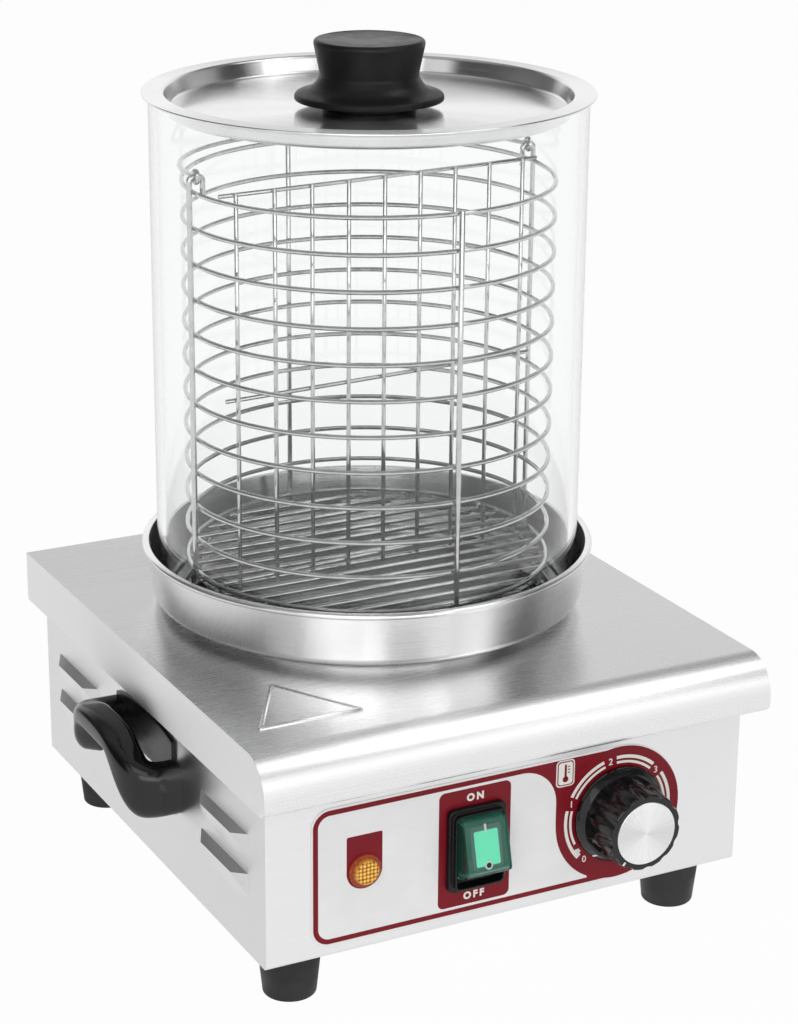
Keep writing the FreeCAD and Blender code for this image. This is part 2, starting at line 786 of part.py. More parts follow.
def lamp_lens():
    """Amber lens: a flat rim on the label, a domed window and a short spigot."""
    front = label_thickness
    dome = front + lamp_rim
    profile = [(0, -sheet, 0), (lamp_barrel_radius, -sheet, 0), (lamp_barrel_radius, front, 0),
               (lamp_rim_radius, front, 0), (lamp_rim_radius, dome, lamp_rim / 3),
               (lamp_dome_radius, dome, 0),
               (lamp_dome_radius * lamp_dome_share, front + lamp_dome, lamp_rim / 2),
               (0, front + lamp_dome, 0)]
    return turned_front(profile, lamp_x, control_z)


def lamp_body():
    barrel = cylinder(lamp_barrel_radius, lamp_barrel, Vector(lamp_x, front_y + sheet, control_z), BACK)
    end = front_y + sheet + lamp_barrel
    for z in (-lamp_tag_width, lamp_tag_width):
        tag = box(lamp_x - lamp_tag_width / 2, lamp_x + lamp_tag_width / 2, end, end + lamp_tag_length,
                  control_z + z - tag_thickness / 2, control_z + z + tag_thickness / 2)
        barrel = barrel.fuse(tag)
    return barrel


def lamp_nut():
    at = Vector(lamp_x, front_y + sheet, control_z)
    blank = cylinder(lamp_nut_radius, lamp_nut_thickness, at, BACK)
    return blank.cut(cylinder(lamp_barrel_radius + running_gap, lamp_nut_thickness, at, BACK))


def switch_bezel():
    """Stepped black frame in front of the label."""
    base = label_thickness
    step = base + bezel_depth
    front = step + tier_depth
    bezel = front_plate(switch_x, control_z, bezel_width, bezel_height, bezel_corner, step, base)
    tier = front_plate(switch_x, control_z, tier_width, tier_height, bezel_corner, front, step)
    opening = front_plate(switch_x, control_z, tier_width - 2 * tier_wall, tier_height - 2 * tier_wall,
                          bezel_corner - tier_wall, front, base)
    return bezel.fuse(tier).cut(opening).removeSplitter()


def switch_body():
    """Box behind the panel with a cavity for the rocker and four tags at the back."""
    body = front_plate(switch_x, control_z, switch_width, switch_height, 0, label_thickness, -switch_behind)
    wide = switch_width - 2 * switch_wall
    high = switch_height - 2 * switch_wall
    cavity = front_plate(switch_x, control_z, wide, high, 0, label_thickness, -switch_cavity)
    body = body.cut(cavity)
    pivot = Vector(switch_x - switch_width / 2, front_y + rocker_pivot, control_z)
    body = body.cut(cylinder(rocker_pin_radius + running_gap, switch_width, pivot, RIGHT))
    end = front_y + switch_behind
    for x in (-1, 1):
        for z in (-1, 1):
            tag_x = switch_x + x * switch_width / 4
            tag_z = control_z + z * switch_height / 4
            tag = box(tag_x - tag_thickness / 2, tag_x + tag_thickness / 2, end, end + switch_tag_length,
                      tag_z - switch_tag_width / 2, tag_z + switch_tag_width / 2)
            body = body.fuse(tag)
    return body


def rocker_outline(grow):
    """Side view of the untilted rocker as corners (height, distance before the panel, rounding)."""
    base = rocker_base / 2 + grow
    top = rocker_top / 2 + grow
    face = rocker_face + grow
    return [(-base, 0, 0), (-top, face, rocker_round), (top, face, rocker_round), (base, 0, 0)]


def tilted(shape):
    """Turns a rocker piece to its rest position, with the upper end pressed in."""
    shape.rotate(Vector(switch_x, front_y + rocker_pivot, control_z), RIGHT, -rocker_tilt)
    return shape


def rocker_prism(outline, width):
    corners = [(Vector(switch_x - width / 2, front_y - d, control_z + z), r) for z, d, r in outline]
    return face_of(corners).extrude(RIGHT * width)


def rocker_block(grow):
    """Front part of the untilted rocker with rounded corners."""
    width = rocker_width + 2 * grow
    height = rocker_base + 2 * grow
    corner = cap_corner - cap_wall + grow
    plate = front_plate(switch_x, control_z, width, height, corner, rocker_face + grow, 0)
    return rocker_prism(rocker_outline(grow), width).common(plate)


def switch_rocker():
    body = rocker_block(0)
    back = -rocker_pivot - rocker_back
    root = [(-rocker_root, back, rocker_round), (-rocker_root, 0, 0), (rocker_root, 0, 0),
            (rocker_root, back, rocker_round)]
    body = body.fuse(rocker_prism(root, rocker_width))
    pivot = Vector(switch_x - rocker_width / 2, front_y + rocker_pivot, control_z)
    body = body.cut(cylinder(rocker_pin_radius + running_gap, rocker_width, pivot, RIGHT))
    return tilted(body.removeSplitter())


def rocker_cover():
    """Clear splash cover that wraps the rocker's front."""
    return tilted(rocker_block(cap_wall).cut(rocker_block(0)))


def rocker_pin():
    start = Vector(switch_x - switch_width / 2, front_y + rocker_pivot, control_z)
    return cylinder(rocker_pin_radius, switch_width, start, RIGHT)


def d_shaft(radius, flat, start, end):
    """Shaft along Y with one flat, between two distances before the panel."""
    shaft = cylinder(radius, end - start, Vector(dial_x, front_y - end, control_z), BACK)
    shaft = shaft.cut(box(dial_x + flat, dial_x + radius, front_y - end, front_y - start,
                          control_z - radius, control_z + radius))
    shaft.rotate(Vector(dial_x, front_y, control_z), BACK, -pointer_angle)
    return shaft


def thermostat_knob():
    """Moulded knob: conical skirt, fluted grip and a hollow underside with a boss."""
    gap = label_thickness + knob_gap
    skirt = gap + knob_skirt
    front = knob_front
    edge = gap + knob_skirt_edge
    profile = [(0, gap, 0), (knob_skirt_radius, gap, 0), (knob_skirt_radius, edge, knob_skirt_edge / 3),
               (knob_ridge_radius, skirt, 0), (knob_root_radius, skirt, 0),
               (knob_grip_radius, front, knob_cap), (0, front, 0)]
    knob = turned_front(profile, dial_x, control_z)
    hollow = [(knob_boss_radius, gap - overrun, 0), (knob_hollow_radius, gap - overrun, 0),
              (knob_hollow_radius, gap + knob_hollow, 0), (knob_boss_radius, gap + knob_hollow, 0)]
    knob = knob.cut(turned_front(hollow, dial_x, control_z))
    reach = knob_grip_radius + knob_flute_radius - knob_flute_depth
    for step in range(knob_flutes):
        angle = math.radians(pointer_angle + (step + 0.5) * FULL_TURN / knob_flutes)
        start = Vector(dial_x + reach * math.cos(angle), front_y - front - overrun,
                       control_z + reach * math.sin(angle))
        knob = knob.cut(cylinder(knob_flute_radius, front + overrun - skirt, start, BACK))
    seat = Vector(dial_x, front_y - front, control_z)
    knob = knob.cut(cylinder(knob_cap_radius + sliding_gap, knob_cap_seat, seat, BACK))
    bore = d_shaft(shaft_radius + running_gap, shaft_flat + running_gap, gap, shaft_length + running_gap)
    return knob.cut(bore)


def knob_cap_disc():
    back = knob_front - knob_cap_seat
    profile = [(0, back, 0), (knob_cap_radius, back, 0), (knob_cap_radius, back + knob_cap, knob_cap / 3),
               (0, back + knob_cap, 0)]
    return turned_front(profile, dial_x, control_z)


def thermostat_shaft():
    return d_shaft(shaft_radius, shaft_flat, -sheet - shaft_behind, shaft_length)


def thermostat_body():
    """Control box on the inside of the panel, with a collar round the shaft."""
    y = front_y + sheet
    body = box(dial_x - thermostat_width / 2, dial_x + thermostat_width / 2, y, y + thermostat_depth,
               control_z - thermostat_height / 2, control_z + thermostat_height / 2)
    body = body.fuse(cylinder(collar_radius, sheet, Vector(dial_x, front_y, control_z), BACK))
    depth = sheet + shaft_behind + sliding_gap
    body = body.cut(cylinder(shaft_radius + running_gap, depth, Vector(dial_x, front_y, control_z), BACK))
    for place in thermostat_screw_places():
        body = body.cut(cylinder(m3_radius + running_gap, shaft_behind, place + BACK * sheet, BACK))
    return body


def heating_plate():
    """Plate flush with the cover, with a flange below it and a groove for the element."""
    disc = cylinder(plate_radius, cover_top - plate_bottom, Vector(pan_x, pan_y, plate_bottom))
    flange = cylinder(plate_flange_radius, plate_flange, Vector(pan_x, pan_y, plate_bottom))
    plate = disc.fuse(flange).removeSplitter()
    ring = Vector(pan_x, pan_y, element_z)
    plate = plate.cut(Part.makeTorus(element_ring_radius, element_radius + running_gap, ring))
    for place in clamp_stud_places():
        plate = plate.fuse(cylinder(m5_radius, clamp_stud_length, place - UP * clamp_stud_length))
    return plate


def clamp_stud_places():
    return [Vector(pan_x + side * clamp_stud_reach, pan_y, plate_bottom) for side in (-1, 1)]


def heating_element():
    """Tubular heater bent to an open ring, with a connection pin at each end."""
    half_gap = element_gap_angle / 2
    angles = (half_gap - QUARTER_TURN, -half_gap - QUARTER_TURN)
    ends = [on_circle(element_ring_radius, angle, element_z) for angle in angles]
    middle = on_circle(element_ring_radius, QUARTER_TURN, element_z)
    arc = Part.Arc(ends[0], middle, ends[1]).toShape()
    tangents = [on_circle(1, angle - QUARTER_TURN, 0, Vector(0, 0, 0)) for angle in angles]
    section = Part.Wire([Part.Circle(ends[0], tangents[0], element_radius).toShape()])
    element = Part.Wire([arc]).makePipeShell([section], True, True)
    for end, tangent, side in zip(ends, tangents, (1, -1)):
        element = element.fuse(cylinder(element_pin_radius, element_pin, end, tangent * side))
    return element


def element_clamp():
    disc = cylinder(clamp_radius, clamp_thickness, Vector(pan_x, pan_y, clamp_bottom))
    for place in clamp_stud_places():
        hole = Vector(place.x, place.y, clamp_bottom)
        disc = disc.cut(cylinder(m5_radius + screw_hole_gap, clamp_thickness, hole))
    return disc


def heat_shield():
    """Shallow tray with an upturned rim under the heater."""
    top = clamp_bottom - shield_drop
    low = top - shield_sheet
    inner = shield_radius - shield_sheet
    profile = [(0, low, 0), (shield_radius, low, shield_sheet * 2), (shield_radius, top + shield_rim, 0),
               (inner, top + shield_rim, 0), (inner, top, shield_sheet), (0, top, 0)]
    tray = revolved(profile)
    for place in clamp_stud_places():
        hole = Vector(place.x, place.y, low)
        tray = tray.cut(cylinder(m5_radius + screw_hole_gap, shield_sheet, hole))
    return tray


def plate_clip(place):
    """Stepped clip from its stud under the cover to the flange of the heating plate."""
    angle = math.degrees(math.atan2(place.y - pan_y, place.x - pan_x))
    inner = plate_flange_radius - clip_overlap
    outer = inner + clip_length
    heel = plate_flange_radius + sliding_gap
    z = plate_bottom - clip_thickness
    clip = box(inner, outer, -clip_width / 2, clip_width / 2, z, plate_bottom)
    clip = clip.fuse(box(heel, outer, -clip_width / 2, clip_width / 2, z, cover_under))
    stud = math.hypot(place.x - pan_x, place.y - pan_y)
    clip = clip.cut(cylinder(m4_radius + screw_hole_gap, cover_under - z, Vector(stud, 0, z)))
    clip = clip.removeSplitter()
    clip.rotate(Vector(0, 0, 0), UP, angle)
    clip.translate(Vector(pan_x, pan_y, 0))
    return clip


def thermal_cutout():
    """Safety cut-out on the clamp, with two tags."""
    x = pan_x + cutout_x
    y = pan_y - clamp_stud_reach
    body = cylinder(cutout_radius, cutout_height, Vector(x, y, clamp_bottom - cutout_height))
    for side in (-1, 1):
        tag_x = x + side * cutout_radius / 2
        low = clamp_bottom - cutout_height - lamp_tag_length / 2
        body = body.fuse(box(tag_x - tag_thickness / 2, tag_x + tag_thickness / 2, y - lamp_tag_width,
                             y + lamp_tag_width, low, clamp_bottom - cutout_height))
    return body


def sensor_bulb():
    """Feeler of the thermostat between plate and clamp, with its capillary to the control box."""
    z = plate_bottom - bulb_radius
    start = Vector(pan_x, pan_y - element_ring_radius + bulb_length / 2, z)
    bulb = cylinder(bulb_radius, bulb_length, start - BACK * bulb_length, BACK)
    nose = start - BACK * (bulb_length - bulb_radius)
    entry = Vector(dial_x, front_y + sheet + thermostat_depth, control_z + thermostat_height / 4)
    drop_y = pan_y - shield_radius - capillary_bend / 2
    corners = [(nose, 0), (Vector(nose.x, drop_y, z), capillary_bend),
               (Vector(nose.x, drop_y, entry.z), capillary_bend),
               (Vector(entry.x, drop_y, entry.z), capillary_bend), (entry, 0)]
    return bulb.fuse(bent_rod(corners, capillary_radius))


def terminal_place():
    """Lower front corner of the terminal block."""
    return Vector(gland_x - terminal_poles * terminal_width - front_flange, rear_y - body_depth / 4,
                  bottom_z + 2 * sheet)


def terminal_block():
    corner = terminal_place()
    width = terminal_poles * terminal_width
    block = Part.makeBox(width, terminal_depth, terminal_height, corner)
    for pole in range(terminal_poles):
        x = corner.x + (pole + 0.5) * terminal_width
        z = corner.z + terminal_height / 2
        block = block.cut(cylinder(terminal_bore, terminal_depth, Vector(x, corner.y, z), BACK))
        for share in terminal_screw_shares:
            top = Vector(x, corner.y + terminal_depth * share, z)
            block = block.cut(cylinder(terminal_screw_radius + running_gap, terminal_height, top))
    return block


def terminal_screws():
    corner = terminal_place()
    screws = []
    for pole in range(terminal_poles):
        x = corner.x + (pole + 0.5) * terminal_width
        z = corner.z + terminal_height / 2
        for share in terminal_screw_shares:
            top = corner.z + terminal_height
            at = Vector(x, corner.y + terminal_depth * share, z)
            screws.append(cylinder(terminal_screw_radius, top - z, at))
    return group(screws)


def cable_gland():
    """Gland without its cord: hexagon and dome outside, thread through the rear panel."""
    z = bottom_z + gland_height
    at = Vector(gland_x, rear_y, z)
    gland = hexagon(gland_radius * math.sqrt(3), gland_body, at, BACK)
    wide, narrow = [gland_radius * share for share in gland_dome_shares]
    dome = Part.makeCone(wide, narrow, gland_dome, at + BACK * gland_body, BACK)
    thread = cylinder(gland_thread_radius, gland_thread, at - BACK * gland_thread, BACK)
    bore = cylinder(gland_bore, gland_thread + gland_body + gland_dome, at - BACK * gland_thread, BACK)
    return gland.fuse(dome).fuse(thread).cut(bore).removeSplitter()


def gland_nut():
    at = Vector(gland_x, rear_y - sheet - gland_nut_thickness, bottom_z + gland_height)
    return nut(gland_nut_flats, gland_nut_thickness, gland_thread_radius, at, BACK)


def earth_stud():
    at = Vector(earth_x, rear_y - sheet, bottom_z + earth_height)
    return screw(m5_radius, earth_length, m5_head_radius, m5_head_height, at, BACK)


def earth_nut():
    at = Vector(earth_x, rear_y, bottom_z + earth_height)
    return nut(m5_nut_flats, m5_nut_height, m5_radius, at, BACK)


def water_pan():
    """Pressed pan: base, ledge for the glass, slightly flared wall and a rolled rim."""
    t = pan_sheet
    ledge = pan_step - t
    inner_wall = pan_wall_radius - t
    inner_top = pan_top_radius - t
    rim_low = pan_height - pan_rim
    roll = pan_rim * pan_roll_share
    outer = [(0, 0, 0), (pan_base_radius, 0, pan_base_bend), (pan_base_radius, ledge, 0),
             (pan_wall_radius, ledge, pan_bend), (pan_top_radius, rim_low, 0),
             (pan_rim_radius, rim_low, roll), (pan_rim_radius, pan_height, roll),
             (inner_top, pan_height, t / 2),
             (inner_wall, pan_step, pan_bend - t), (pan_base_radius - t, pan_step, t / 2),
             (pan_base_radius - t, t, pan_base_bend - t), (0, t, 0)]
    return revolved([(r, cover_top + z, rounding) for r, z, rounding in outer])


def rack_bar_list():
    bars = []
    z = rack_top - rack_wire
    for index in range(rack_bars):
        y = (index - (rack_bars - 1) / 2) * rack_pitch
        half = math.sqrt(rack_bar_radius ** 2 - y ** 2)
        start = Vector(pan_x - half, pan_y + y, z)
        bars.append(rod_between(start, start + RIGHT * (2 * half), rack_wire))
    return group(bars)


def rack_ring_z():
    return rack_top - 2 * rack_wire - rack_ring_wire - weld_gap


def rack_ring():
    return Part.makeTorus(rack_ring_radius, rack_ring_wire, Vector(pan_x, pan_y, rack_ring_z()))


def rack_legs():
    """Short legs from the pan's floor to the ring."""
    floor = cover_top + pan_sheet
    top = rack_ring_z() - rack_ring_wire - weld_gap
    legs = []
    for angle in rack_leg_angles:
        legs.append(rod_between(on_circle(rack_ring_radius, angle, floor + rack_foot / 4),
                                on_circle(rack_ring_radius, angle, top), rack_leg_radius))
    return group(legs)


def rack_feet():
    floor = cover_top + pan_sheet
    feet = []
    for angle in rack_leg_angles:
        at = on_circle(rack_ring_radius, angle, floor)
        sleeve = cylinder(rack_foot_radius, rack_foot, at)
        bore = on_circle(rack_ring_radius, angle, floor + rack_foot / 4)
        feet.append(sleeve.cut(cylinder(rack_leg_radius + running_gap, rack_foot, bore)))
    return group(feet)


def glass_cylinder():
    inner = glass_radius - glass_wall
    edge = glass_round
    return revolved([(inner, glass_bottom_z, edge), (glass_radius, glass_bottom_z, edge),
                     (glass_radius, glass_top_z, edge), (inner, glass_top_z, edge)])


def lid():
    """Pressed lid: flat rim on the glass and a recess that locates inside it."""
    t = lid_sheet
    floor = lid_floor_z
    profile = [(0, floor - t, 0), (lid_floor_radius, floor - t, lid_bend + t),
               (lid_rim_radius, glass_top_z, 0), (lid_radius, glass_top_z, lid_edge),
               (lid_radius, lid_top, lid_edge), (lid_rim_radius - t, lid_top, lid_bend),
               (lid_floor_radius - t, floor, lid_bend), (0, floor, 0)]
    disc = revolved(profile)
    hole = Vector(pan_x, pan_y, floor - t)
    return disc.cut(cylinder(m5_radius + screw_hole_gap, t, hole))


def lid_knob():
    """Moulded knob with a wide skirt, a narrow waist and a flat head."""
    z = lid_floor_z
    skirt = z + lid_knob_foot
    edge = skirt + lid_knob_skirt_edge
    neck = z + lid_knob_neck
    top = z + lid_knob_height
    profile = [(0, z, 0), (lid_knob_foot_radius, z, 0), (lid_knob_foot_radius, skirt, 0),
               (lid_knob_skirt_radius, skirt, 0), (lid_knob_skirt_radius, edge, lid_knob_skirt_edge / 3),
               (lid_knob_flare_radius, z + lid_knob_flare, 2 * lid_knob_round),
               (lid_knob_waist_radius, neck, lid_knob_neck_round),
               (lid_knob_head_radius, top, lid_knob_round), (lid_knob_waist_radius, top - lid_knob_dish, 0),
               (0, top - lid_knob_dish, 0)]
    knob = revolved(profile)
    return knob.cut(cylinder(m5_radius + running_gap, lid_insert_depth, Vector(pan_x, pan_y, z)))


def lid_screw():
    seat = Vector(pan_x, pan_y, lid_floor_z - lid_sheet)
    return screw(m5_radius, lid_insert_depth, m5_head_radius, m5_head_height, seat, UP)


def basket_ring_list():
    rings = []
    for index in range(basket_rings):
        z = ring_bottom_z + index * ring_pitch
        rings.append(Part.makeTorus(ring_radius, ring_wire, Vector(pan_x, pan_y, z)))
    return group(rings)


def basket_uprights():
    """Plain uprights at the front and rear, and two with a hook at the top for the bail."""
    low = ring_bottom_z - upright_below
    wires = []
    for angle in (90.0, 270.0):
        wires.append(rod_between(on_circle(upright_radius, angle, low),
                                 on_circle(upright_radius, angle, ring_top_z + upright_above), upright_wire))
    top = hook_z()
    inner = upright_radius - hook_width
    for angle in (0.0, 180.0):
        corners = [(on_circle(upright_radius, angle, low), 0),
                   (on_circle(upright_radius, angle, top), hook_bend),
                   (on_circle(inner, angle, top), hook_bend), (on_circle(inner, angle, top - hook_stub), 0)]
        wires.append(bent_rod(corners, upright_wire))
    return group(wires)


def hook_z():
    return ring_top_z + hook_rise


def divider_direction():
    turn = math.radians(divider_turn)
    return Vector(math.cos(turn), math.sin(turn), 0), Vector(math.sin(turn), -math.cos(turn), 0)


def divider_wire_at(z, radius):
    """Horizontal wire of the divider that ends on the given circle."""
    along, across = divider_direction()
    centre = Vector(pan_x, pan_y - divider_shift, z)
    offset = centre - Vector(pan_x, pan_y, z)
    middle = offset.dot(along)
    reach = math.sqrt(radius ** 2 - offset.Length ** 2 + middle ** 2)
    return rod_between(centre - along * (middle + reach), centre + along * (reach - middle), divider_wire)


def divider_levels():
    top = ring_top_z + ring_wire + divider_wire + weld_gap
    low = ring_bottom_z + ring_wire + divider_wire + weld_gap
    return top, cover_top + divider_middle, low


def divider_frame():
    top, middle, low = divider_levels()
    inner = ring_radius - ring_wire - divider_wire
    return group([divider_wire_at(top, ring_radius), divider_wire_at(middle, inner),
                  divider_wire_at(low, ring_radius)])


def divider_bar_list():
    """Upright wires of the divider, welded to the front of its horizontal wires."""
    top = divider_levels()[0]
    along, across = divider_direction()
    base = Vector(pan_x, pan_y - divider_shift, 0) + across * (2 * divider_wire + weld_gap)
    bars = []
    for index in range(divider_bars):
        foot_point = base + along * ((index - (divider_bars - 1) / 2) * divider_pitch)
        low_end = foot_point + UP * (rack_top + rest_gap)
        bars.append(rod_between(low_end, foot_point + UP * (top + divider_wire), divider_wire))
    return group(bars)


def bail_rest_turn():
    """Angle below the level at which the bail rests on the rear upright."""
    reach = bail_radius() + bail_shank
    drop = hook_z() - (ring_top_z + upright_above + bail_wire + rest_gap)
    return math.degrees(math.asin(drop / reach))


def bail_radius():
    return upright_radius - hook_width / 2


def bail_handle():
    """Half-round carrying handle with an eye round each hook, built level and laid to rest."""
    radius = bail_radius()
    eye = upright_wire + rest_gap + bail_wire
    z = hook_z()
    left = Vector(pan_x - radius, pan_y, z)
    right = Vector(pan_x + radius, pan_y, z)
    start = right + BACK * eye
    shank = right + BACK * bail_shank
    other = left + BACK * bail_shank
    end = left + BACK * eye
    crown = Vector(pan_x, pan_y + bail_shank + radius, z)
    edges = [Part.LineSegment(start, shank).toShape(), Part.Arc(shank, crown, other).toShape(),
             Part.LineSegment(other, end).toShape()]
    section = Part.Wire([Part.Circle(start, BACK, bail_wire).toShape()])
    wire = Part.Wire(edges).makePipeShell([section], True, True)
    for place in (left, right):
        wire = wire.fuse(Part.makeTorus(eye, bail_wire, place, RIGHT))
    wire.rotate(left, RIGHT, -bail_rest_turn())
    return wire


def build_all():
    os.makedirs("parts", exist_ok=True)
    save("housing_shell", housing_shell())
    save("rear_panel", rear_panel())
    save("bottom_plate", bottom_plate())
    save("top_cover", top_cover())
    save("rear_screws", group([screw(m4_radius, 2 * sheet + m4_nut_height, m4_head_radius, m4_head_height,
                                     place, -BACK) for place in rear_screw_places()]))
    drop = UP * (sheet + m4_nut_height)
    save("cover_nuts", group([nut(m4_nut_flats, m4_nut_height, m4_radius, place - drop)
                              for place in cover_stud_places()]))
    for name, (x, y) in foot_centres().items():
        save(f"foot_{name}", foot(x, y))
    save("foot_screws", group([foot_screw(x, y) for x, y in foot_centres().values()]))
    save("foot_nuts", group([nut(m5_nut_flats, m5_nut_height, m5_radius, Vector(x, y, bottom_z + 2 * sheet))
                             for x, y in foot_centres().values()]))
    left_handle = handle()
    save("handle_left", left_handle)
    save("handle_right", mirrored(left_handle))
    left_screws = [handle_screw(place) for place in handle_screw_places()]
    save("handle_screws", group(left_screws + [mirrored(piece) for piece in left_screws]))
    save("control_label", control_label())
    save("lamp_lens", lamp_lens())
    save("lamp_body", lamp_body())
    save("lamp_nut", lamp_nut())
    save("switch_bezel", switch_bezel())
    save("switch_body", switch_body())
    save("switch_rocker", switch_rocker())
    save("rocker_cover", rocker_cover())
    save("rocker_pin", rocker_pin())
    save("thermostat_knob", thermostat_knob())
    save("knob_cap", knob_cap_disc())
    save("thermostat_shaft", thermostat_shaft())
    save("thermostat_body", thermostat_body())
    reach = sheet + label_thickness + shaft_behind - sliding_gap
    save("thermostat_screws", group([screw(m3_radius, reach, m3_head_radius, m3_head_height,
                                           place - BACK * label_thickness, BACK)
                                     for place in thermostat_screw_places()]))
    save("heating_plate", heating_plate())
    save("heating_element", heating_element())
    save("element_clamp", element_clamp())
    save("clamp_nuts", group([nut(m5_nut_flats, m5_nut_height, m5_radius,
                                  Vector(place.x, place.y, clamp_bottom - m5_nut_height))
                              for place in clamp_stud_places()]))
    save("heat_shield", heat_shield())
    shield_low = clamp_bottom - shield_drop - shield_sheet
    save("shield_nuts", group([nut(m5_nut_flats, m5_nut_height, m5_radius, Vector(place.x, place.y, z))
                               for place in clamp_stud_places()
                               for z in (shield_low - m5_nut_height, shield_low + shield_sheet)]))
    save("plate_clips", group([plate_clip(place) for place in clip_stud_places()]))
    save("clip_nuts", group([nut(m4_nut_flats, m4_nut_height, m4_radius,
                                 Vector(place.x, place.y, plate_bottom - clip_thickness - m4_nut_height))
                             for place in clip_stud_places()]))
    save("thermal_cutout", thermal_cutout())
    save("sensor_bulb", sensor_bulb())
    save("terminal_block", terminal_block())
    save("terminal_screws", terminal_screws())
    save("cable_gland", cable_gland())
    save("gland_nut", gland_nut())
    save("earth_stud", earth_stud())
    save("earth_nut", earth_nut())
    save("water_pan", water_pan())
    save("rack_bars", rack_bar_list())
    save("rack_ring", rack_ring())
    save("rack_legs", rack_legs())
    save("rack_feet", rack_feet())
    save("glass_cylinder", glass_cylinder())
    save("lid", lid())
    save("lid_knob", lid_knob())
    save("lid_screw", lid_screw())
    save("basket_rings", basket_ring_list())
    save("basket_uprights", basket_uprights())
    save("divider_frame", divider_frame())
    save("divider_bars", divider_bar_list())
    save("bail_handle", bail_handle())


build_all()
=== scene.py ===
# %% [markdown]
# # Dressing a hot dog steamer
# A CAD program has already fixed the size and place of every piece of this countertop steamer.
# Blender now gives each piece the surface of the real one: brushed sheet, spun steel, bright wire,
# glass, rubber and moulded plastic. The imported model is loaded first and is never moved, so every
# new piece only has to be built where the frame says, in metres.

# %% Load the frame
import bpy
import bmesh
import json
import math
from mathutils import Matrix, Vector


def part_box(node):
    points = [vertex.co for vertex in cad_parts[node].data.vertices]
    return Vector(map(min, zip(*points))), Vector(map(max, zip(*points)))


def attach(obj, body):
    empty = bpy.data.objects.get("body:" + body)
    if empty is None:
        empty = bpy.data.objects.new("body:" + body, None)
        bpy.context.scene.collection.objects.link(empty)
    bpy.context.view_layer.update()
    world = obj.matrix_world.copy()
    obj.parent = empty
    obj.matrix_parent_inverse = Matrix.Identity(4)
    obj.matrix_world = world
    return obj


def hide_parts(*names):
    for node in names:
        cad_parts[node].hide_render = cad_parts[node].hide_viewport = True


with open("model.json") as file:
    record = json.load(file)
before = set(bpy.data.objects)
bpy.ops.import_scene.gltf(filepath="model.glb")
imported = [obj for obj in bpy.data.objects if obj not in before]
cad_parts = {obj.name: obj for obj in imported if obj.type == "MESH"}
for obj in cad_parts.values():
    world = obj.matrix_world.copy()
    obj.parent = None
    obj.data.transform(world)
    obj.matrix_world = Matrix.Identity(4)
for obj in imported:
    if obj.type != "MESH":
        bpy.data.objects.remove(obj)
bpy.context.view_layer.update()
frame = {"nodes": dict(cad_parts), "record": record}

MM = 0.001
nodes = frame["nodes"]
record = frame["record"]
body_of = {node: body for body, held in record["behaviour"]["bodies"].items() for node in held}
slot_of = {part["node"]: part["material_slot"] for part in record["subparts"]}

# %% [markdown]
# ## Places read from the frame
# A few places come up again and again: the axis of the pan and glass, the face of the front panel
# and the middle of the controls. Most are read from the boxes of the CAD nodes, so the pieces built
# here can't drift away from the ones that carry them. The others are typed in millimetres.

# %% Places
glass_low, glass_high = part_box("glass_cylinder")
knob_low, knob_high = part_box("thermostat_knob")
axis = Vector(((glass_low.x + glass_high.x) / 2, (glass_low.y + glass_high.y) / 2, 0))
cover_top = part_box("heating_plate")[1].z
film_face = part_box("control_label")[0].y
housing_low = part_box("housing_shell")[0].z
dial = Vector(((knob_low.x + knob_high.x) / 2, 0, (knob_low.z + knob_high.z) / 2))
front_plane = -125.65                    # front of the housing, in millimetres
lamp_x, switch_x = -73.5, -19.0
control_height = 38.3                    # lamp, switch and dial above the housing's underside
up = Vector((0, 0, 1))
print("axis", axis, "cover top", cover_top, "film face", film_face, "dial", dial)

# %% [markdown]
# ## Node helpers
# Every finish starts from the Principled shader. Small helpers keep the recipes short: they add nodes,
# read stretched noise in object coordinates, turn noise into a range of values and do sums with values
# and vectors. Object coordinates are in metres and stay with the piece, so a grain has the same size
# everywhere.

# %% Helpers for finishes
def new_finish(name, colour, roughness, **settings):
    """A material whose shader has plain values, ready for detail."""
    finish = bpy.data.materials.new(name)
    finish.use_nodes = True
    shader = finish.node_tree.nodes["Principled BSDF"]
    shader.inputs["Base Color"].default_value = (*colour, 1)
    shader.inputs["Roughness"].default_value = roughness
    for label, value in settings.items():
        shader.inputs[label.replace("_", " ")].default_value = value
    return finish


def add(finish, kind, inputs=None, **settings):
    """Adds a node. Inputs may be values or sockets of other nodes."""
    tree = finish.node_tree
    node = tree.nodes.new(kind)
    for label, value in settings.items():
        setattr(node, label, value)
    for label, value in (inputs or {}).items():
        if isinstance(value, bpy.types.NodeSocket):
            tree.links.new(value, node.inputs[label])
        else:
            node.inputs[label].default_value = value
    return node


def place_of(finish, stretch=(1, 1, 1), move=(0, 0, 0)):
    """Object coordinates, moved and stretched."""
    where = add(finish, "ShaderNodeTexCoord")
    mapping = add(finish, "ShaderNodeMapping", {"Vector": where.outputs["Object"]}, vector_type="POINT")
    mapping.inputs["Location"].default_value = move
    mapping.inputs["Scale"].default_value = stretch
    return mapping.outputs["Vector"]


def noise(finish, vector, scale, detail=3.0, roughness=0.5):
    node = add(finish, "ShaderNodeTexNoise", {"Vector": vector, "Scale": scale, "Detail": detail,
                                              "Roughness": roughness})
    return node.outputs["Fac"]


def between(finish, value, low, high, start=0.3, end=0.7):
    """Spreads a noise value over a range."""
    node = add(finish, "ShaderNodeMapRange", {"Value": value, "From Min": start, "From Max": end,
                                              "To Min": low, "To Max": high})
    return node.outputs["Result"]


def math_of(finish, operation, first, second=0.0):
    node = add(finish, "ShaderNodeMath", {0: first, 1: second}, operation=operation)
    return node.outputs["Value"]


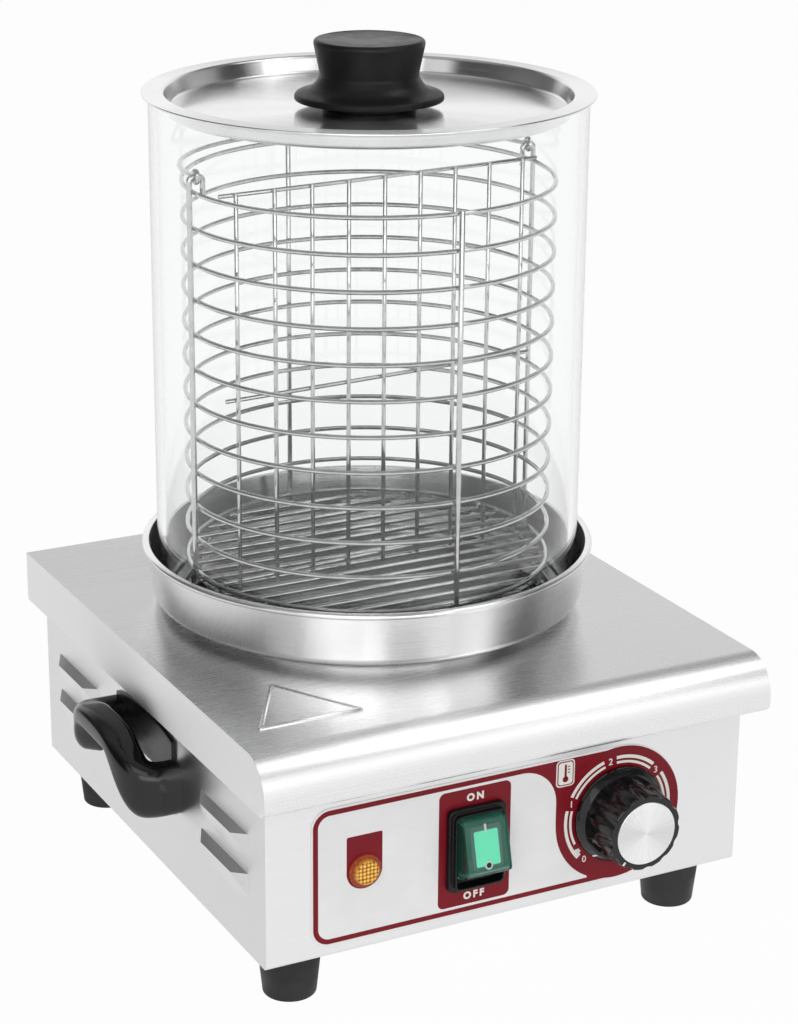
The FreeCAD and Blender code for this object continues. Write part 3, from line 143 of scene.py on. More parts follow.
def vector_of(finish, operation, first, second=(0, 0, 0)):
    node = add(finish, "ShaderNodeVectorMath", {0: first, 1: second}, operation=operation)
    return node.outputs["Value" if operation == "LENGTH" else "Vector"]


def part_of(finish, vector, letter):
    return add(finish, "ShaderNodeSeparateXYZ", {0: vector}).outputs[letter]


def flattened(finish, vector, keep):
    """The vector in a plane across an axis, and its length there."""
    flat = vector_of(finish, "MULTIPLY", vector, keep)
    return flat, vector_of(finish, "LENGTH", flat)


def blended(finish, first, second, share):
    """Two values, the second with the given share of the whole."""
    return math_of(finish, "ADD", math_of(finish, "MULTIPLY", first, 1 - share),
                   math_of(finish, "MULTIPLY", second, share))


def feed(finish, label, socket):
    shader = finish.node_tree.nodes["Principled BSDF"]
    finish.node_tree.links.new(socket, shader.inputs[label])


def fed_by(finish, label):
    """The socket that feeds an input of the shader."""
    return finish.node_tree.nodes["Principled BSDF"].inputs[label].links[0].from_socket


def shade(finish, value, first, second):
    """Feeds the shader a colour between two colours, and returns it."""
    node = add(finish, "ShaderNodeMix", {"Factor": value}, data_type="RGBA")
    node.inputs["A"].default_value = (*first, 1)
    node.inputs["B"].default_value = (*second, 1)
    feed(finish, "Base Color", node.outputs["Result"])
    return node.outputs["Result"]


def relief(finish, height, strength, depth):
    """Bump from a height value. The depth is in millimetres."""
    node = add(finish, "ShaderNodeBump", {"Height": height, "Strength": strength, "Distance": depth * MM})
    feed(finish, "Normal", node.outputs["Normal"])


def draw_out(finish, amount, direction, turn=0.0):
    """Draws reflections out along a direction, as fine parallel lines do."""
    shader = finish.node_tree.nodes["Principled BSDF"]
    shader.inputs["Anisotropic"].default_value = amount
    shader.inputs["Anisotropic Rotation"].default_value = turn
    if not isinstance(direction, bpy.types.NodeSocket):
        x, y, z = direction
        direction = add(finish, "ShaderNodeCombineXYZ", {"X": x, "Y": y, "Z": z}).outputs["Vector"]
    feed(finish, "Tangent", direction)


print("helpers for finishes ready")

# %% [markdown]
# ## Brushed sheet steel
# The housing and the cover are folded from sheet that was brushed before folding. The fine lines run
# along the sheet, so the noise is stretched: slow along the grain, quick across it. The lines draw every
# reflection out across themselves and keep it sharp along themselves, which is what the anisotropic
# setting of the shader does. They run level on the housing and from side to side on the cover.

# %% Sheet steel
def brushed_sheet(name, stretch, light, rough, across):
    finish = new_finish(name, (light,) * 3, rough, Metallic=1.0)
    draw_out(finish, 0.88, across)
    lines = noise(finish, place_of(finish, stretch), 1.0, 4.0, 0.65)
    cloud = noise(finish, place_of(finish), 9.0, 2.0)
    both = blended(finish, lines, cloud, 0.3)
    shade(finish, between(finish, both, 0, 1), (light * 0.97,) * 3, (min(light * 1.02, 1.0),) * 3)
    feed(finish, "Roughness", between(finish, both, rough * 0.9, rough * 1.15))
    relief(finish, lines, 0.02, 0.02)
    return finish


housing_steel = brushed_sheet("housing_steel", (7, 7, 1500), 0.90, 0.34, (0, 0, 1))
cover_steel = brushed_sheet("cover_steel", (7, 1500, 1500), 0.90, 0.26, (0, 1, 0.35))

# The short sides of the cover were brushed before they were folded down, so they are duller.
normal = add(cover_steel, "ShaderNodeNewGeometry").outputs["Normal"]
facing_side = math_of(cover_steel, "ABSOLUTE", part_of(cover_steel, normal, "X"))
dull = between(cover_steel, facing_side, 0.0, 0.5, 0.6, 0.95)
feed(cover_steel, "Roughness", math_of(cover_steel, "MAXIMUM", fed_by(cover_steel, "Roughness"), dull))
print("sheet steel:", housing_steel.name, cover_steel.name)

# %% [markdown]
# ## Spun steel
# The pan and the lid were spun or pressed in the round and then polished while they turned. Their fine
# lines are circles about the axis. The noise is read at the direction from the axis, which changes
# slowly, and at radius plus height, which changes quickly. A second noise, of the direction alone, paints
# soft bright and dark sectors into the colour: painted reflections like those a turned surface shows.

# %% Spun steel
def ring_place(finish, centre, slow, quick):
    """Vector that is slow round an upright axis and quick along radius and height."""
    here = place_of(finish, move=(-centre.x, -centre.y, 0))
    flat, away = flattened(finish, here, (1, 1, 0))
    towards = vector_of(finish, "NORMALIZE", flat)
    turn = vector_of(finish, "MULTIPLY", towards, (slow, slow, slow))
    run = math_of(finish, "ADD", away, part_of(finish, here, "Z"))
    lift = add(finish, "ShaderNodeCombineXYZ", {"Z": math_of(finish, "MULTIPLY", run, quick)})
    return vector_of(finish, "ADD", turn, lift.outputs["Vector"]), towards


def spun_steel(name, light, rough, sectors):
    finish = new_finish(name, (light,) * 3, rough, Metallic=1.0)
    rings, direction = ring_place(finish, axis, 1.2, 1300)
    draw_out(finish, 1.0, vector_of(finish, "CROSS_PRODUCT", (0, 0, 1), direction), 0.25)
    lines = noise(finish, rings, 1.0, 3.0, 0.6)
    # Painted reflections: a noise of the direction alone lightens and darkens the colour in broad sectors.
    painted_fans = noise(finish, direction, 2.4, 1.0)
    tone = blended(finish, lines, painted_fans, sectors)
    shade(finish, between(finish, tone, 0, 1), (light * 0.90,) * 3, (min(light * 1.05, 1.0),) * 3)
    feed(finish, "Roughness", between(finish, lines, rough * 0.9, rough * 1.15))
    relief(finish, lines, 0.015, 0.01)
    return finish


def painted_pan_shade(finish, radius, height, grey):
    """Painted shade low inside a vessel, within a radius and below a height: the colour goes to a dark grey
    there.
    """
    unshaded = fed_by(finish, "Base Color")
    here = place_of(finish, move=(-axis.x, -axis.y, 0))
    away = flattened(finish, here, (1, 1, 0))[1]
    within = between(finish, away, 1, 0, radius, radius + 3 * MM)
    below = between(finish, part_of(finish, here, "Z"), 1, 0, height, height + 6 * MM)
    shaded_colour = shade(finish, math_of(finish, "MULTIPLY", within, below), (0, 0, 0), (grey, grey, grey))
    # Painted shade: the unshaded colour is kept outside the mask, and the mask turns it dark grey.
    finish.node_tree.links.new(unshaded, shaded_colour.node.inputs["A"])


pan_steel = spun_steel("pan_steel", 0.88, 0.22, 0.7)
# Painted shade on the pan's floor under the rack, put into the colour.
painted_pan_shade(pan_steel, 86 * MM, cover_top + 4 * MM, 0.15)
lid_steel = spun_steel("lid_steel", 0.84, 0.18, 0.7)
print("spun steel:", pan_steel.name, lid_steel.name)

# %% [markdown]
# ## Wire, plating and cast metal
# The basket and rack are bright drawn wire: smooth, with faint marks. Screws and nuts are zinc plated, a
# little bluish and mottled. The heating plate is a casting with a turned face, so it is rougher and has a
# grain of small dots.

# %% Small metals
def mottled_metal(name, colour, rough, size, depth, spread=0.12):
    finish = new_finish(name, colour, rough, Metallic=1.0)
    spots = noise(finish, place_of(finish), size, 4.0, 0.6)
    dark = [value * (1 - spread) for value in colour]
    light = [min(value * (1 + spread / 2), 1.0) for value in colour]
    shade(finish, between(finish, spots, 0, 1), dark, light)
    feed(finish, "Roughness", between(finish, spots, rough * 0.75, rough * 1.35))
    relief(finish, spots, 0.15, depth)
    return finish


bright_wire = mottled_metal("bright_wire", (0.60, 0.60, 0.61), 0.11, 260.0, 0.02)
zinc_plate = mottled_metal("zinc_plate", (0.62, 0.64, 0.66), 0.32, 420.0, 0.04)
cast_metal = mottled_metal("cast_metal", (0.72, 0.72, 0.73), 0.42, 900.0, 0.06)
print("small metals:", bright_wire.name, zinc_plate.name, cast_metal.name)

# %% [markdown]
# ## Black mouldings and rubber
# Handles, knobs and the switch frame are glossy mouldings. Up close the gloss is broken by a very low
# orange-peel wave and by small scuffs that are a little rougher. The feet are matt rubber with a fine
# pebble grain and a dusty tone where they are handled.

# %% Plastics
def moulding(name, colour, rough, wave, depth, scuff=0.5, **settings):
    finish = new_finish(name, colour, rough, **settings)
    peel = noise(finish, place_of(finish), wave, 2.0)
    marks = noise(finish, place_of(finish, (1, 1, 1.6)), 38.0, 5.0, 0.62)
    light = [min(value * (1 + scuff) + 0.002 * scuff, 1.0) for value in colour]
    shade(finish, between(finish, marks, 0, 1, 0.45, 0.75), colour, light)
    feed(finish, "Roughness", between(finish, marks, rough * 0.85, rough * (1 + scuff), 0.4, 0.75))
    relief(finish, peel, 0.12, depth)
    return finish


black_gloss = moulding("black_gloss", (0.005, 0.005, 0.006), 0.15, 240.0, 0.10)
black_satin = moulding("black_satin", (0.006, 0.006, 0.007), 0.30, 520.0, 0.06, Specular_IOR_Level=0.30)
black_dull = moulding("black_dull", (0.009, 0.009, 0.010), 0.38, 420.0, 0.10, Specular_IOR_Level=0.24)
rubber = moulding("rubber", (0.012, 0.012, 0.013), 0.55, 1500.0, 0.15, 0.8)
inner_plastic = moulding("inner_plastic", (0.10, 0.095, 0.085), 0.50, 600.0, 0.08)
print("plastics:", black_gloss.name, black_satin.name, rubber.name, inner_plastic.name)

# %% [markdown]
# ## Printed film
# The front carries a printed polyester film. Its base is a warm white, and the red field, the pale
# panel and the lettering are inks of a few hundredths of a millimetre. All of them share a soft sheen
# with a fine texture; the inks differ only in colour and in how evenly they cover.

# %% Film and inks
film_white = moulding("film_white", (0.86, 0.86, 0.85), 0.36, 1800.0, 0.02, 0.05)
panel_white = moulding("panel_white", (0.86, 0.86, 0.86), 0.40, 1800.0, 0.02, 0.05)
red_ink = moulding("red_ink", (0.200, 0.006, 0.014), 0.34, 1800.0, 0.02, 0.12, Specular_IOR_Level=0.22)
white_ink = moulding("white_ink", (0.86, 0.84, 0.80), 0.40, 1800.0, 0.02, 0.05)
print("inks:", red_ink.name, white_ink.name, panel_white.name)

# %% [markdown]
# ## Lamp, rocker and glass
# The lamp's lens is amber plastic with small facets inside, which a cell pattern bumps into being: it
# is dark between them and at its rim. The rocker glows mint in its window and is green around it, under
# a clear splash cover. The cylinder is clear glass: hardly any colour, a refraction near 1.5 and a
# surface so smooth that only a trace of haze is left in it.

# %% Clear and lit finishes
def faceted_amber():
    finish = new_finish("faceted_amber", (0.85, 0.26, 0.01), 0.14, Transmission_Weight=0.35, IOR=1.49,
                        Emission_Strength=0.55)
    flat, away = flattened(finish, place_of(finish, move=(-lamp_x * MM, 0, -dial.z)), (1, 0, 1))
    cells = add(finish, "ShaderNodeTexVoronoi", {"Vector": flat, "Scale": 560.0, "Randomness": 0.15})
    near = cells.outputs["Distance"]
    grain = between(finish, near, 0, 1, 0.05, 0.58)
    edge = between(finish, away, 0, 1, 3.8 * MM, 6.4 * MM)
    tone = shade(finish, math_of(finish, "MAXIMUM", grain, edge), (1.0, 0.70, 0.08), (0.22, 0.025, 0.002))
    feed(finish, "Emission Color", tone)
    relief(finish, near, 0.8, 0.6)
    return finish


def clear_finish(name, colour, rough, haze, index):
    finish = new_finish(name, colour, rough, Transmission_Weight=1.0, IOR=index)
    marks = noise(finish, place_of(finish), 60.0, 4.0)
    feed(finish, "Roughness", between(finish, marks, rough, rough + haze, 0.5, 0.8))
    return finish


amber = faceted_amber()
clear_glass = clear_finish("clear_glass", (0.985, 0.995, 0.99), 0.0, 0.01, 1.46)
splash_cover = clear_finish("splash_cover", (0.84, 0.95, 0.92), 0.10, 0.10, 1.30)
mint_glow = moulding("mint_glow", (0.14, 0.66, 0.42), 0.35, 700.0, 0.05, 0.1,
                     Emission_Color=(0.16, 0.80, 0.50, 1), Emission_Strength=0.34)
ground_grey = moulding("ground_grey", (0.10, 0.19, 0.165), 0.35, 700.0, 0.05, 0.3)
print("clear finishes:", amber.name, clear_glass.name, splash_cover.name)

# %% Green of the rocker, deeper at its lower end
# The green body's faint glow is partly the lit rocker's own light and partly painted light: it lifts the
# green that the clear splash cover leaves in shade.
green = new_finish("rocker_green", (0.0, 0.16, 0.06), 0.3, Emission_Strength=0.10)
cloud = noise(green, place_of(green), 500.0, 2.0)
edge = math_of(green, "ADD", part_of(green, place_of(green), "Z"),
               math_of(green, "MULTIPLY", cloud, 1.5 * MM))
tone = shade(green, between(green, edge, 0, 1, dial.z - 10 * MM, dial.z - 8.8 * MM), (0.0, 0.10, 0.04),
             (0.05, 0.22, 0.16))
feed(green, "Emission Color", tone)
relief(green, cloud, 0.2, 0.05)
print("lit finishes:", amber.name, mint_glow.name, green.name)

# %% [markdown]
# ## Turned disc
# The bright disc on the dial was faced on a lathe, so light gathers in two opposite fans. The fans are
# painted highlights, a pattern of the angle round the disc's own axis: the angle goes through a sine, and
# the result lightens the metal's colour and sharpens it. Fine circles of the tool finish it.

# %% Disc metal
def fan_metal():
    finish = new_finish("fan_metal", (0.85, 0.85, 0.85), 0.25, Metallic=1.0)
    here = place_of(finish, move=(-dial.x, 0, -dial.z))
    angle = math_of(finish, "ARCTAN2", part_of(finish, here, "Z"), part_of(finish, here, "X"))
    # Painted highlight: two opposite fans lighten the colour of the disc.
    painted_fans = math_of(finish, "SINE", math_of(finish, "ADD", math_of(finish, "MULTIPLY", angle, 2.0), -0.9))
    flat, away = flattened(finish, here, (1, 0, 1))
    draw_out(finish, 0.8, vector_of(finish, "CROSS_PRODUCT", (0, 1, 0), flat), 0.25)
    circles = math_of(finish, "SINE", math_of(finish, "MULTIPLY", away, 14000.0))
    streak = noise(finish, add(finish, "ShaderNodeCombineXYZ", {"X": angle}).outputs["Vector"], 9.0, 5.0)
    tone = math_of(finish, "ADD", painted_fans, between(finish, streak, -0.5, 0.5))
    shade(finish, between(finish, tone, 0, 1, -1.2, 1.2), (0.76, 0.76, 0.77), (1.0, 1.0, 1.0))
    feed(finish, "Roughness", between(finish, circles, 0.22, 0.34, -1.0, 1.0))
    relief(finish, circles, 0.15, 0.02)
    return finish


disc_metal = fan_metal()
print("disc metal:", disc_metal.name)

# %% [markdown]
# ## Making a piece
# Shapes start from operators, and three helpers serve them all: one joins corners into a line and
# rounds each with a vertex bevel, one collects edges, and one extrudes faces.

# %% Helpers for shapes
def edges_of(verts):
    return list(dict.fromkeys(edge for vert in verts for edge in vert.link_edges))


def corner_line(bm, corners, place, arc, closed=True):
    """Joins (across, height, rounding) corners and rounds them. Returns the vertices of the line."""
    before = set(bm.verts)
    made = [bm.verts.new(place(across, height)) for across, height, _ in corners]
    for pair in zip(made, made[1:] + made[:1] if closed else made[1:]):
        bm.edges.new(pair)
    for vert, (_, _, rounding) in zip(made, corners):
        if rounding > 0:
            bmesh.ops.bevel(bm, geom=[vert], offset=rounding * MM, offset_type="OFFSET", segments=arc,
                            affect="VERTICES", profile=0.5, material=-1)
    return [vert for vert in bm.verts if vert not in before]


def extruded(bm, faces, keep=True):
    """Extrudes faces, and keeps or drops the old ones. Returns the new faces and vertices."""
    grown = bmesh.ops.extrude_face_region(bm, geom=faces)["geom"]
    if not keep:
        bmesh.ops.delete(bm, geom=faces, context="FACES_ONLY")
    return ([item for item in grown if isinstance(item, kind)]
            for kind in (bmesh.types.BMFace, bmesh.types.BMVert))


# %% Helper that finishes a piece
def make_piece(name, bm, finish, stands_for=(), body=None, smooth=35):
    mesh = bpy.data.meshes.new(name)
    bm.to_mesh(mesh)
    bm.free()
    mesh.shade_smooth()
    mesh.set_sharp_from_angle(angle=math.radians(smooth))
    mesh.materials.append(finish)
    piece = bpy.data.objects.new(name, mesh)
    bpy.context.scene.collection.objects.link(piece)
    first = stands_for[0] if stands_for else None
    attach(piece, body or body_of[first])
    if stands_for:
        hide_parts(*stands_for)
    print(f"{name}: {len(mesh.polygons)} faces")
    return piece


# %% [markdown]
# ## Pieces that keep their CAD shape
# Folded sheet, screws, feet and mouldings already have the right shape, but a CAD mesh is a bag of
# loose triangles with razor edges. A copy of each is merged, flat triangles are dissolved into whole
# faces, and a narrow bevel rounds the edges so that they catch the light. The hidden pieces inside
# stay as they are and only get their finish.

# %% Helper that softens a CAD node
def softened(node, finish, edge, segments=2, corner=32, cuts=()):
    """Cuts are (place, direction) of planes that keep the shading of a bend off the flat beside it."""
    bm = bmesh.new()
    bm.from_mesh(nodes[node].data)
    bmesh.ops.remove_doubles(bm, verts=bm.verts, dist=0.002 * MM)
    bmesh.ops.dissolve_limit(bm, angle_limit=math.radians(0.4), verts=bm.verts, edges=bm.edges)
    for place, direction in cuts:
        bmesh.ops.bisect_plane(bm, geom=bm.verts[:] + bm.edges[:] + bm.faces[:], dist=0.001 * MM,
                               plane_co=place, plane_no=direction)
    piece = make_piece(f"{node}_soft", bm, finish, [node], smooth=corner)
    if edge > 0:
        rounding = piece.modifiers.new("soft_edges", "BEVEL")
        rounding.width = edge * MM
        rounding.segments = segments
        rounding.limit_method = "ANGLE"
        rounding.angle_limit = math.radians(corner)
        rounding.harden_normals = True
    return piece


# %% Softened pieces
softened("housing_shell", housing_steel, 0.22, corner=13)
bend = 17.5 * MM
behind_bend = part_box("top_cover")[0] + Vector((0, bend, 0))
softened("top_cover", cover_steel, 0.30, cuts=[(behind_bend, (0, 1, 0)), (up * (cover_top - bend), up)])
for end in ("front", "rear"):
    for side in ("left", "right"):
        softened(f"foot_{end}_{side}", rubber, 0.5)
softened("control_label", film_white, 0.05)
softened("lamp_lens", amber, 0.15)
softened("switch_bezel", black_satin, 0.7, 3)
softened("switch_rocker", green, 0.8, 3)
softened("rocker_cover", splash_cover, 0.35, 2)
softened("thermostat_knob", black_gloss, 0.35, 2)
softened("knob_cap", disc_metal, 0.12)
softened("cable_gland", black_satin, 0.4)
softened("rack_feet", rubber, 0.3)
for name in ("rear_screws", "foot_screws", "earth_stud", "earth_nut", "lid_screw"):
    softened(name, zinc_plate, 0.2)

# %% Finishes of the CAD nodes that stay
finish_of_slot = {"brushed_steel": housing_steel, "pan_steel": pan_steel, "wire_steel": bright_wire,
                  "zinc": zinc_plate, "cast_aluminium": cast_metal, "black_plastic": black_satin,
                  "black_rubber": rubber, "inner_plastic": inner_plastic}
for name, node in nodes.items():
    if not node.hide_render and slot_of[name] in finish_of_slot:
        for place in node.material_slots:
            place.material = finish_of_slot[slot_of[name]]
print("finishes set on", sum(not node.hide_render for node in nodes.values()), "CAD nodes")

# %% [markdown]
# ## Turned pieces
# The glass, the pan, the lid and its knob are all bodies of revolution. Each is drawn as half a
# section: a few vertices with a rounding each, joined by edges. A vertex bevel turns the corners into
# arcs, and a full spin sweeps the section round the axis. The spin merges its last step with the
# first, and vertices that met on the axis are merged too, so the surface is closed.

# %% Helpers that turn a section
def guarded(section, closed, margin=0.4):
    """Adds a plain point just past each corner, so that the shading of the long walls stays flat."""
    ends = section[1:] + section[:1] if closed else section[1:]
    points = []
    for (r0, z0, a0), (r1, z1, a1) in zip(section, ends):
        points.append((r0, z0, a0))
        length = math.hypot(r1 - r0, z1 - z0)
        if length > a0 + a1 + 3 * margin:
            for along in (a0 + margin, length - a1 - margin):
                points.append((r0 + (r1 - r0) * along / length, z0 + (z1 - z0) * along / length, 0))
    return points if closed else points + [section[-1]]


def turned(section, steps, closed=False, arc=5):
    """Section corners are (radius, height, rounding) in millimetres."""
    bm = bmesh.new()
    corner_line(bm, guarded(section, closed),
                lambda radius, height: (axis.x + radius * MM, axis.y, height * MM), arc, closed)
    bmesh.ops.spin(bm, geom=bm.verts[:] + bm.edges[:], axis=(0, 0, 1), cent=axis, angle=math.tau,
                   steps=steps, use_merge=True, use_duplicate=False)
    bmesh.ops.remove_doubles(bm, verts=bm.verts, dist=0.01 * MM)
    bmesh.ops.recalc_face_normals(bm, faces=bm.faces)
    return bm


# %% Glass cylinder
outer = (glass_high.x - glass_low.x) / 2 / MM
low, high = glass_low.z / MM, glass_high.z / MM
wall, fire_polish = 4.0, 1.6
section = [(outer - wall, low, fire_polish), (outer, low, fire_polish), (outer, high, fire_polish),
           (outer - wall, high, fire_polish)]
make_piece("glass_wall", turned(section, 160, closed=True), clear_glass, ["glass_cylinder"])
print("glass", outer * 2, "mm across and", round(high - low, 1), "mm high")

# %% Water pan
top = cover_top / MM
sheet = 0.8
section = [(0, top, 0), (90, top, 3), (90, top + 4.4, 0), (102.6, top + 4.4, 4), (104.9, top + 28.9, 0.5),
           (107.3, top + 28.9, 1.1), (107.3, top + 31.5, 1.1), (104.1, top + 31.5, 0.4),
           (101.8, top + 5.2, 3.2), (89.2, top + 5.2, 0.4), (89.2, top + sheet, 2.2), (0, top + sheet, 0)]
make_piece("pan_spun", turned(section, 180), pan_steel, ["water_pan"])

# %% Lid
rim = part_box("lid")[1].z / MM
floor = rim - 8
section = [(0, floor - 1, 0), (91.5, floor - 1, 2.2), (94, rim - 1, 0), (103, rim - 1, 0.4),
           (103, rim, 0.4), (93, rim, 1.2), (90.5, floor, 1.2), (0, floor, 0)]
make_piece("lid_spun", turned(section, 180), lid_steel, ["lid"])

# %% Lid knob
section = [(0, floor, 0), (21, floor, 0.4), (21, floor + 3.7, 0), (34, floor + 3.7, 0.5),
           (34, floor + 6.3, 1.2), (25.6, floor + 8.8, 3.5), (22.4, floor + 14.8, 0.8),
           (25.9, floor + 31.6, 3.2), (22.4, floor + 30.7, 0.5), (0, floor + 30.7, 0)]
make_piece("lid_knob_turned", turned(section, 128), black_dull, ["lid_knob"])

# %% [markdown]
# ## Handles
# A handle is a moulded bow. Its section, a square with rounded corners, leaves the wall, swings along
# the side and comes back to the wall. On the way it goes from a tall leg to a low bar and back, so each
# step extrudes the last face and reshapes it with one matrix. A thin black sheet made in the same way,
# shaped like a flange, lies on the wall behind the bar: it is painted shade and painted reflection for
# the wall there, which lies in the bar's shadow and mirrors its black inner face, so the grip looks black
# all through.

# %% Handles
def ease(value):
    """Smooth step from 0 to 1."""
    value = min(max(value, 0.0), 1.0)
    return value * value * (3 - 2 * value)


leg, bar, bar_height = 7.0 * MM, 15.5 * MM, 11.2 * MM    # half a leg's length, and the bar's two sizes
fullness = 4.2                                           # of its plan: 2 is an ellipse, more is squarer
crown_fall, front_drop, rear_drop = 10.2 * MM, 26.6 * MM, 20 * MM
# Black sheet of painted shade on the wall behind the bar: its thickness, its drop below the bar and its fall
# at the ends.
shade_flange, shade_flange_drop, shade_flange_fall = 0.8 * MM, 12 * MM, 4 * MM
low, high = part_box("handle_left")
wall_x = high.x
bow_middle = (low.y + high.y) / 2
half, reach = (high.y - low.y) / 2 - leg, wall_x - low.x - bar / 2


def bow_heights(along):
    """Top and bottom of the bow at a share of its length, from -1 in front to 1 at the rear."""
    drop = front_drop * ease((-along - 0.37) / 0.58) + rear_drop * ease((along - 0.52) / 0.42)
    return high.z - crown_fall * abs(along - 0.12) ** 2.4, high.z - bar_height - drop


def section_frame(here, heading, thick, heights):
    """Matrix that lays the unit square upright across a heading."""
    here.z = sum(heights) / 2
    rise = up * (heights[0] - heights[1]) / 2
    columns = (heading.cross(up) * thick, rise, heading * MM, here)
    return Matrix([[column[row] for column in columns] for row in range(3)] + [[0, 0, 0, 1]])


def bow_line(turn):
    """Place on the bow's middle line, from 0 at the rear wall to 1 at the front."""
    angle = math.pi * turn
    along = math.copysign(abs(math.cos(angle)) ** (2 / fullness), math.cos(angle))
    return Vector((wall_x - reach * math.sin(angle) ** (2 / fullness), bow_middle + half * along, 0))


def bow_frame(turn):
    here = bow_line(turn)
    near = 0.002
    heading = (bow_line(min(turn + near, 1)) - bow_line(max(turn - near, 0))).normalized()
    if turn in (0, 1):
        heading = Vector((-1 if turn == 0 else 1, 0, 0))
    thick = leg + (bar / 2 - leg) * ease((wall_x - here.x) / reach)
    return section_frame(here, heading, thick, bow_heights((here.y - bow_middle) / half))


# Painted shade: a black sheet on the wall behind the bar, where the wall lies in the bar's shadow and
# mirrors the bar.
def shade_flange_frame(turn):
    along = 0.98 * (1 - 2 * turn)
    here = Vector((wall_x - shade_flange, bow_middle + half * along, 0))
    heights = (high.z - shade_flange_fall * abs(along) ** 2.4,
               bow_heights(along)[1] - shade_flange_drop * (1 - along ** 4))
    return section_frame(here, Vector((0, -1, 0)), shade_flange, heights)


def swept(frame_at, steps, rounding, mirrored):
    """Pushes a rounded square through a row of frames."""
    bm = bmesh.new()
    bmesh.ops.create_grid(bm, x_segments=1, y_segments=1, size=1)
    bmesh.ops.bevel(bm, geom=bm.verts[:], offset=rounding, offset_type="OFFSET", segments=7,
                    affect="VERTICES", profile=0.5, material=-1)
    place = frame_at(0)
    bmesh.ops.transform(bm, matrix=place, verts=bm.verts)
    faces = bm.faces[:]
    for step in range(1, steps + 1):
        faces, verts = extruded(bm, faces, keep=step == 1)
        after = frame_at(step / steps)
        bmesh.ops.transform(bm, matrix=after @ place.inverted(), verts=verts)
        place = after
    if mirrored:
        bmesh.ops.scale(bm, vec=(-1, 1, 1), verts=bm.verts)
    bmesh.ops.recalc_face_normals(bm, faces=bm.faces)
    return bm


for node in ("handle_left", "handle_right"):
    mirrored = node == "handle_right"
    make_piece(f"{node}_bow", swept(bow_frame, 72, 0.62, mirrored), black_gloss, [node], smooth=50)
    # The black sheet behind the bar is painted shade for the wall in the bar's shadow.
    make_piece(f"{node}_flange", swept(shade_flange_frame, 40, 0.2, mirrored), black_satin, body="housing")

# %% [markdown]
# ## Wire pieces
# The basket is welded from round wire. A ring is a small circle spun once round the axis. A straight
# wire is a thin cylinder with a slight bevel on its cut ends. A bent wire starts from a filled circle,
# which is pushed along the straight parts and spun round each bend, as a bending machine does it.

# %% Helpers for wire
def wire_ring(bm, centre, radius, thickness, turn=Matrix.Identity(4), steps=144, sides=10):
    """Ring about the Z axis of the turned frame, set at a centre."""
    place = Matrix.Translation(centre) @ turn
    start = place @ Matrix.Translation((radius, 0, 0)) @ Matrix.Rotation(math.pi / 2, 4, "X")
    loop = bmesh.ops.create_circle(bm, cap_ends=False, segments=sides, radius=thickness, matrix=start)
    bmesh.ops.spin(bm, geom=loop["verts"] + edges_of(loop["verts"]), axis=turn.to_3x3() @ up, cent=centre,
                   angle=math.tau, steps=steps, use_merge=True, use_duplicate=False)


def straight_wire(bm, start, end, thickness, sides=12):
    run = end - start
    place = Matrix.Translation((start + end) / 2) @ run.to_track_quat("Z", "Y").to_matrix().to_4x4()
    rod = bmesh.ops.create_cone(bm, cap_ends=True, segments=sides, radius1=thickness, radius2=thickness,
                                depth=run.length, matrix=place)
    rims = [edge for edge in edges_of(rod["verts"])
            if any(len(face.verts) == sides for face in edge.link_faces)]
    bmesh.ops.bevel(bm, geom=rims, offset=thickness * 0.3, offset_type="OFFSET", segments=2,
                    affect="EDGES", profile=0.5, material=-1)


def bent_wire(bm, start, towards, thickness, moves, sides=12):
    """Moves are ("run", length) or ("bend", radius, angle, axis), in metres and degrees."""
    towards = towards.normalized()
    place = Matrix.Translation(start) @ towards.to_track_quat("Z", "Y").to_matrix().to_4x4()
    disc = bmesh.ops.create_circle(bm, cap_ends=True, segments=sides, radius=thickness, matrix=place)
    faces = [disc["verts"][0].link_faces[0]]
    at = start.copy()
    for index, (kind, amount, *bend) in enumerate(moves):
        if kind == "run":
            step = towards * amount
            faces, verts = extruded(bm, faces, keep=index == 0)
            bmesh.ops.translate(bm, verts=verts, vec=step)
            at = at + step
        else:
            angle, about = math.radians(bend[0]), bend[1]
            centre = at + about.cross(towards) * amount
            last = bmesh.ops.spin(bm, geom=faces, axis=about, cent=centre, angle=angle, use_duplicate=False,
                                  steps=max(4, round(abs(bend[0]) / 9)))["geom_last"]
            if index > 0:
                bmesh.ops.delete(bm, geom=faces, context="FACES_ONLY")
            faces = [item for item in last if isinstance(item, bmesh.types.BMFace)]
            spun = Matrix.Rotation(angle, 3, about)
            at = centre + spun @ (at - centre)
            towards = spun @ towards


def polar(radius, angle, height):
    """Point on a circle about the pan's axis, in metres, at an angle in degrees."""
    turn = math.radians(angle)
    return Vector((axis.x + radius * math.cos(turn), axis.y + radius * math.sin(turn), height))


def wire_piece(bm, node, name):
    bmesh.ops.recalc_face_normals(bm, faces=bm.faces)
    make_piece(name, bm, bright_wire, [node])


print("helpers for wire ready")

# %% Basket rings
rings_low, rings_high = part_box("basket_rings")
ring_wire = 1.1 * MM
ring_radius = (rings_high.x - rings_low.x) / 2 - ring_wire
ring_count = 12
ring_first = rings_low.z + ring_wire
ring_last = rings_high.z - ring_wire
ring_pitch = (ring_last - ring_first) / (ring_count - 1)
bm = bmesh.new()
for index in range(ring_count):
    wire_ring(bm, axis + up * (ring_first + index * ring_pitch), ring_radius, ring_wire)
wire_piece(bm, "basket_rings", "basket_ring_wires")
print("rings every", round(ring_pitch / MM, 2), "mm")

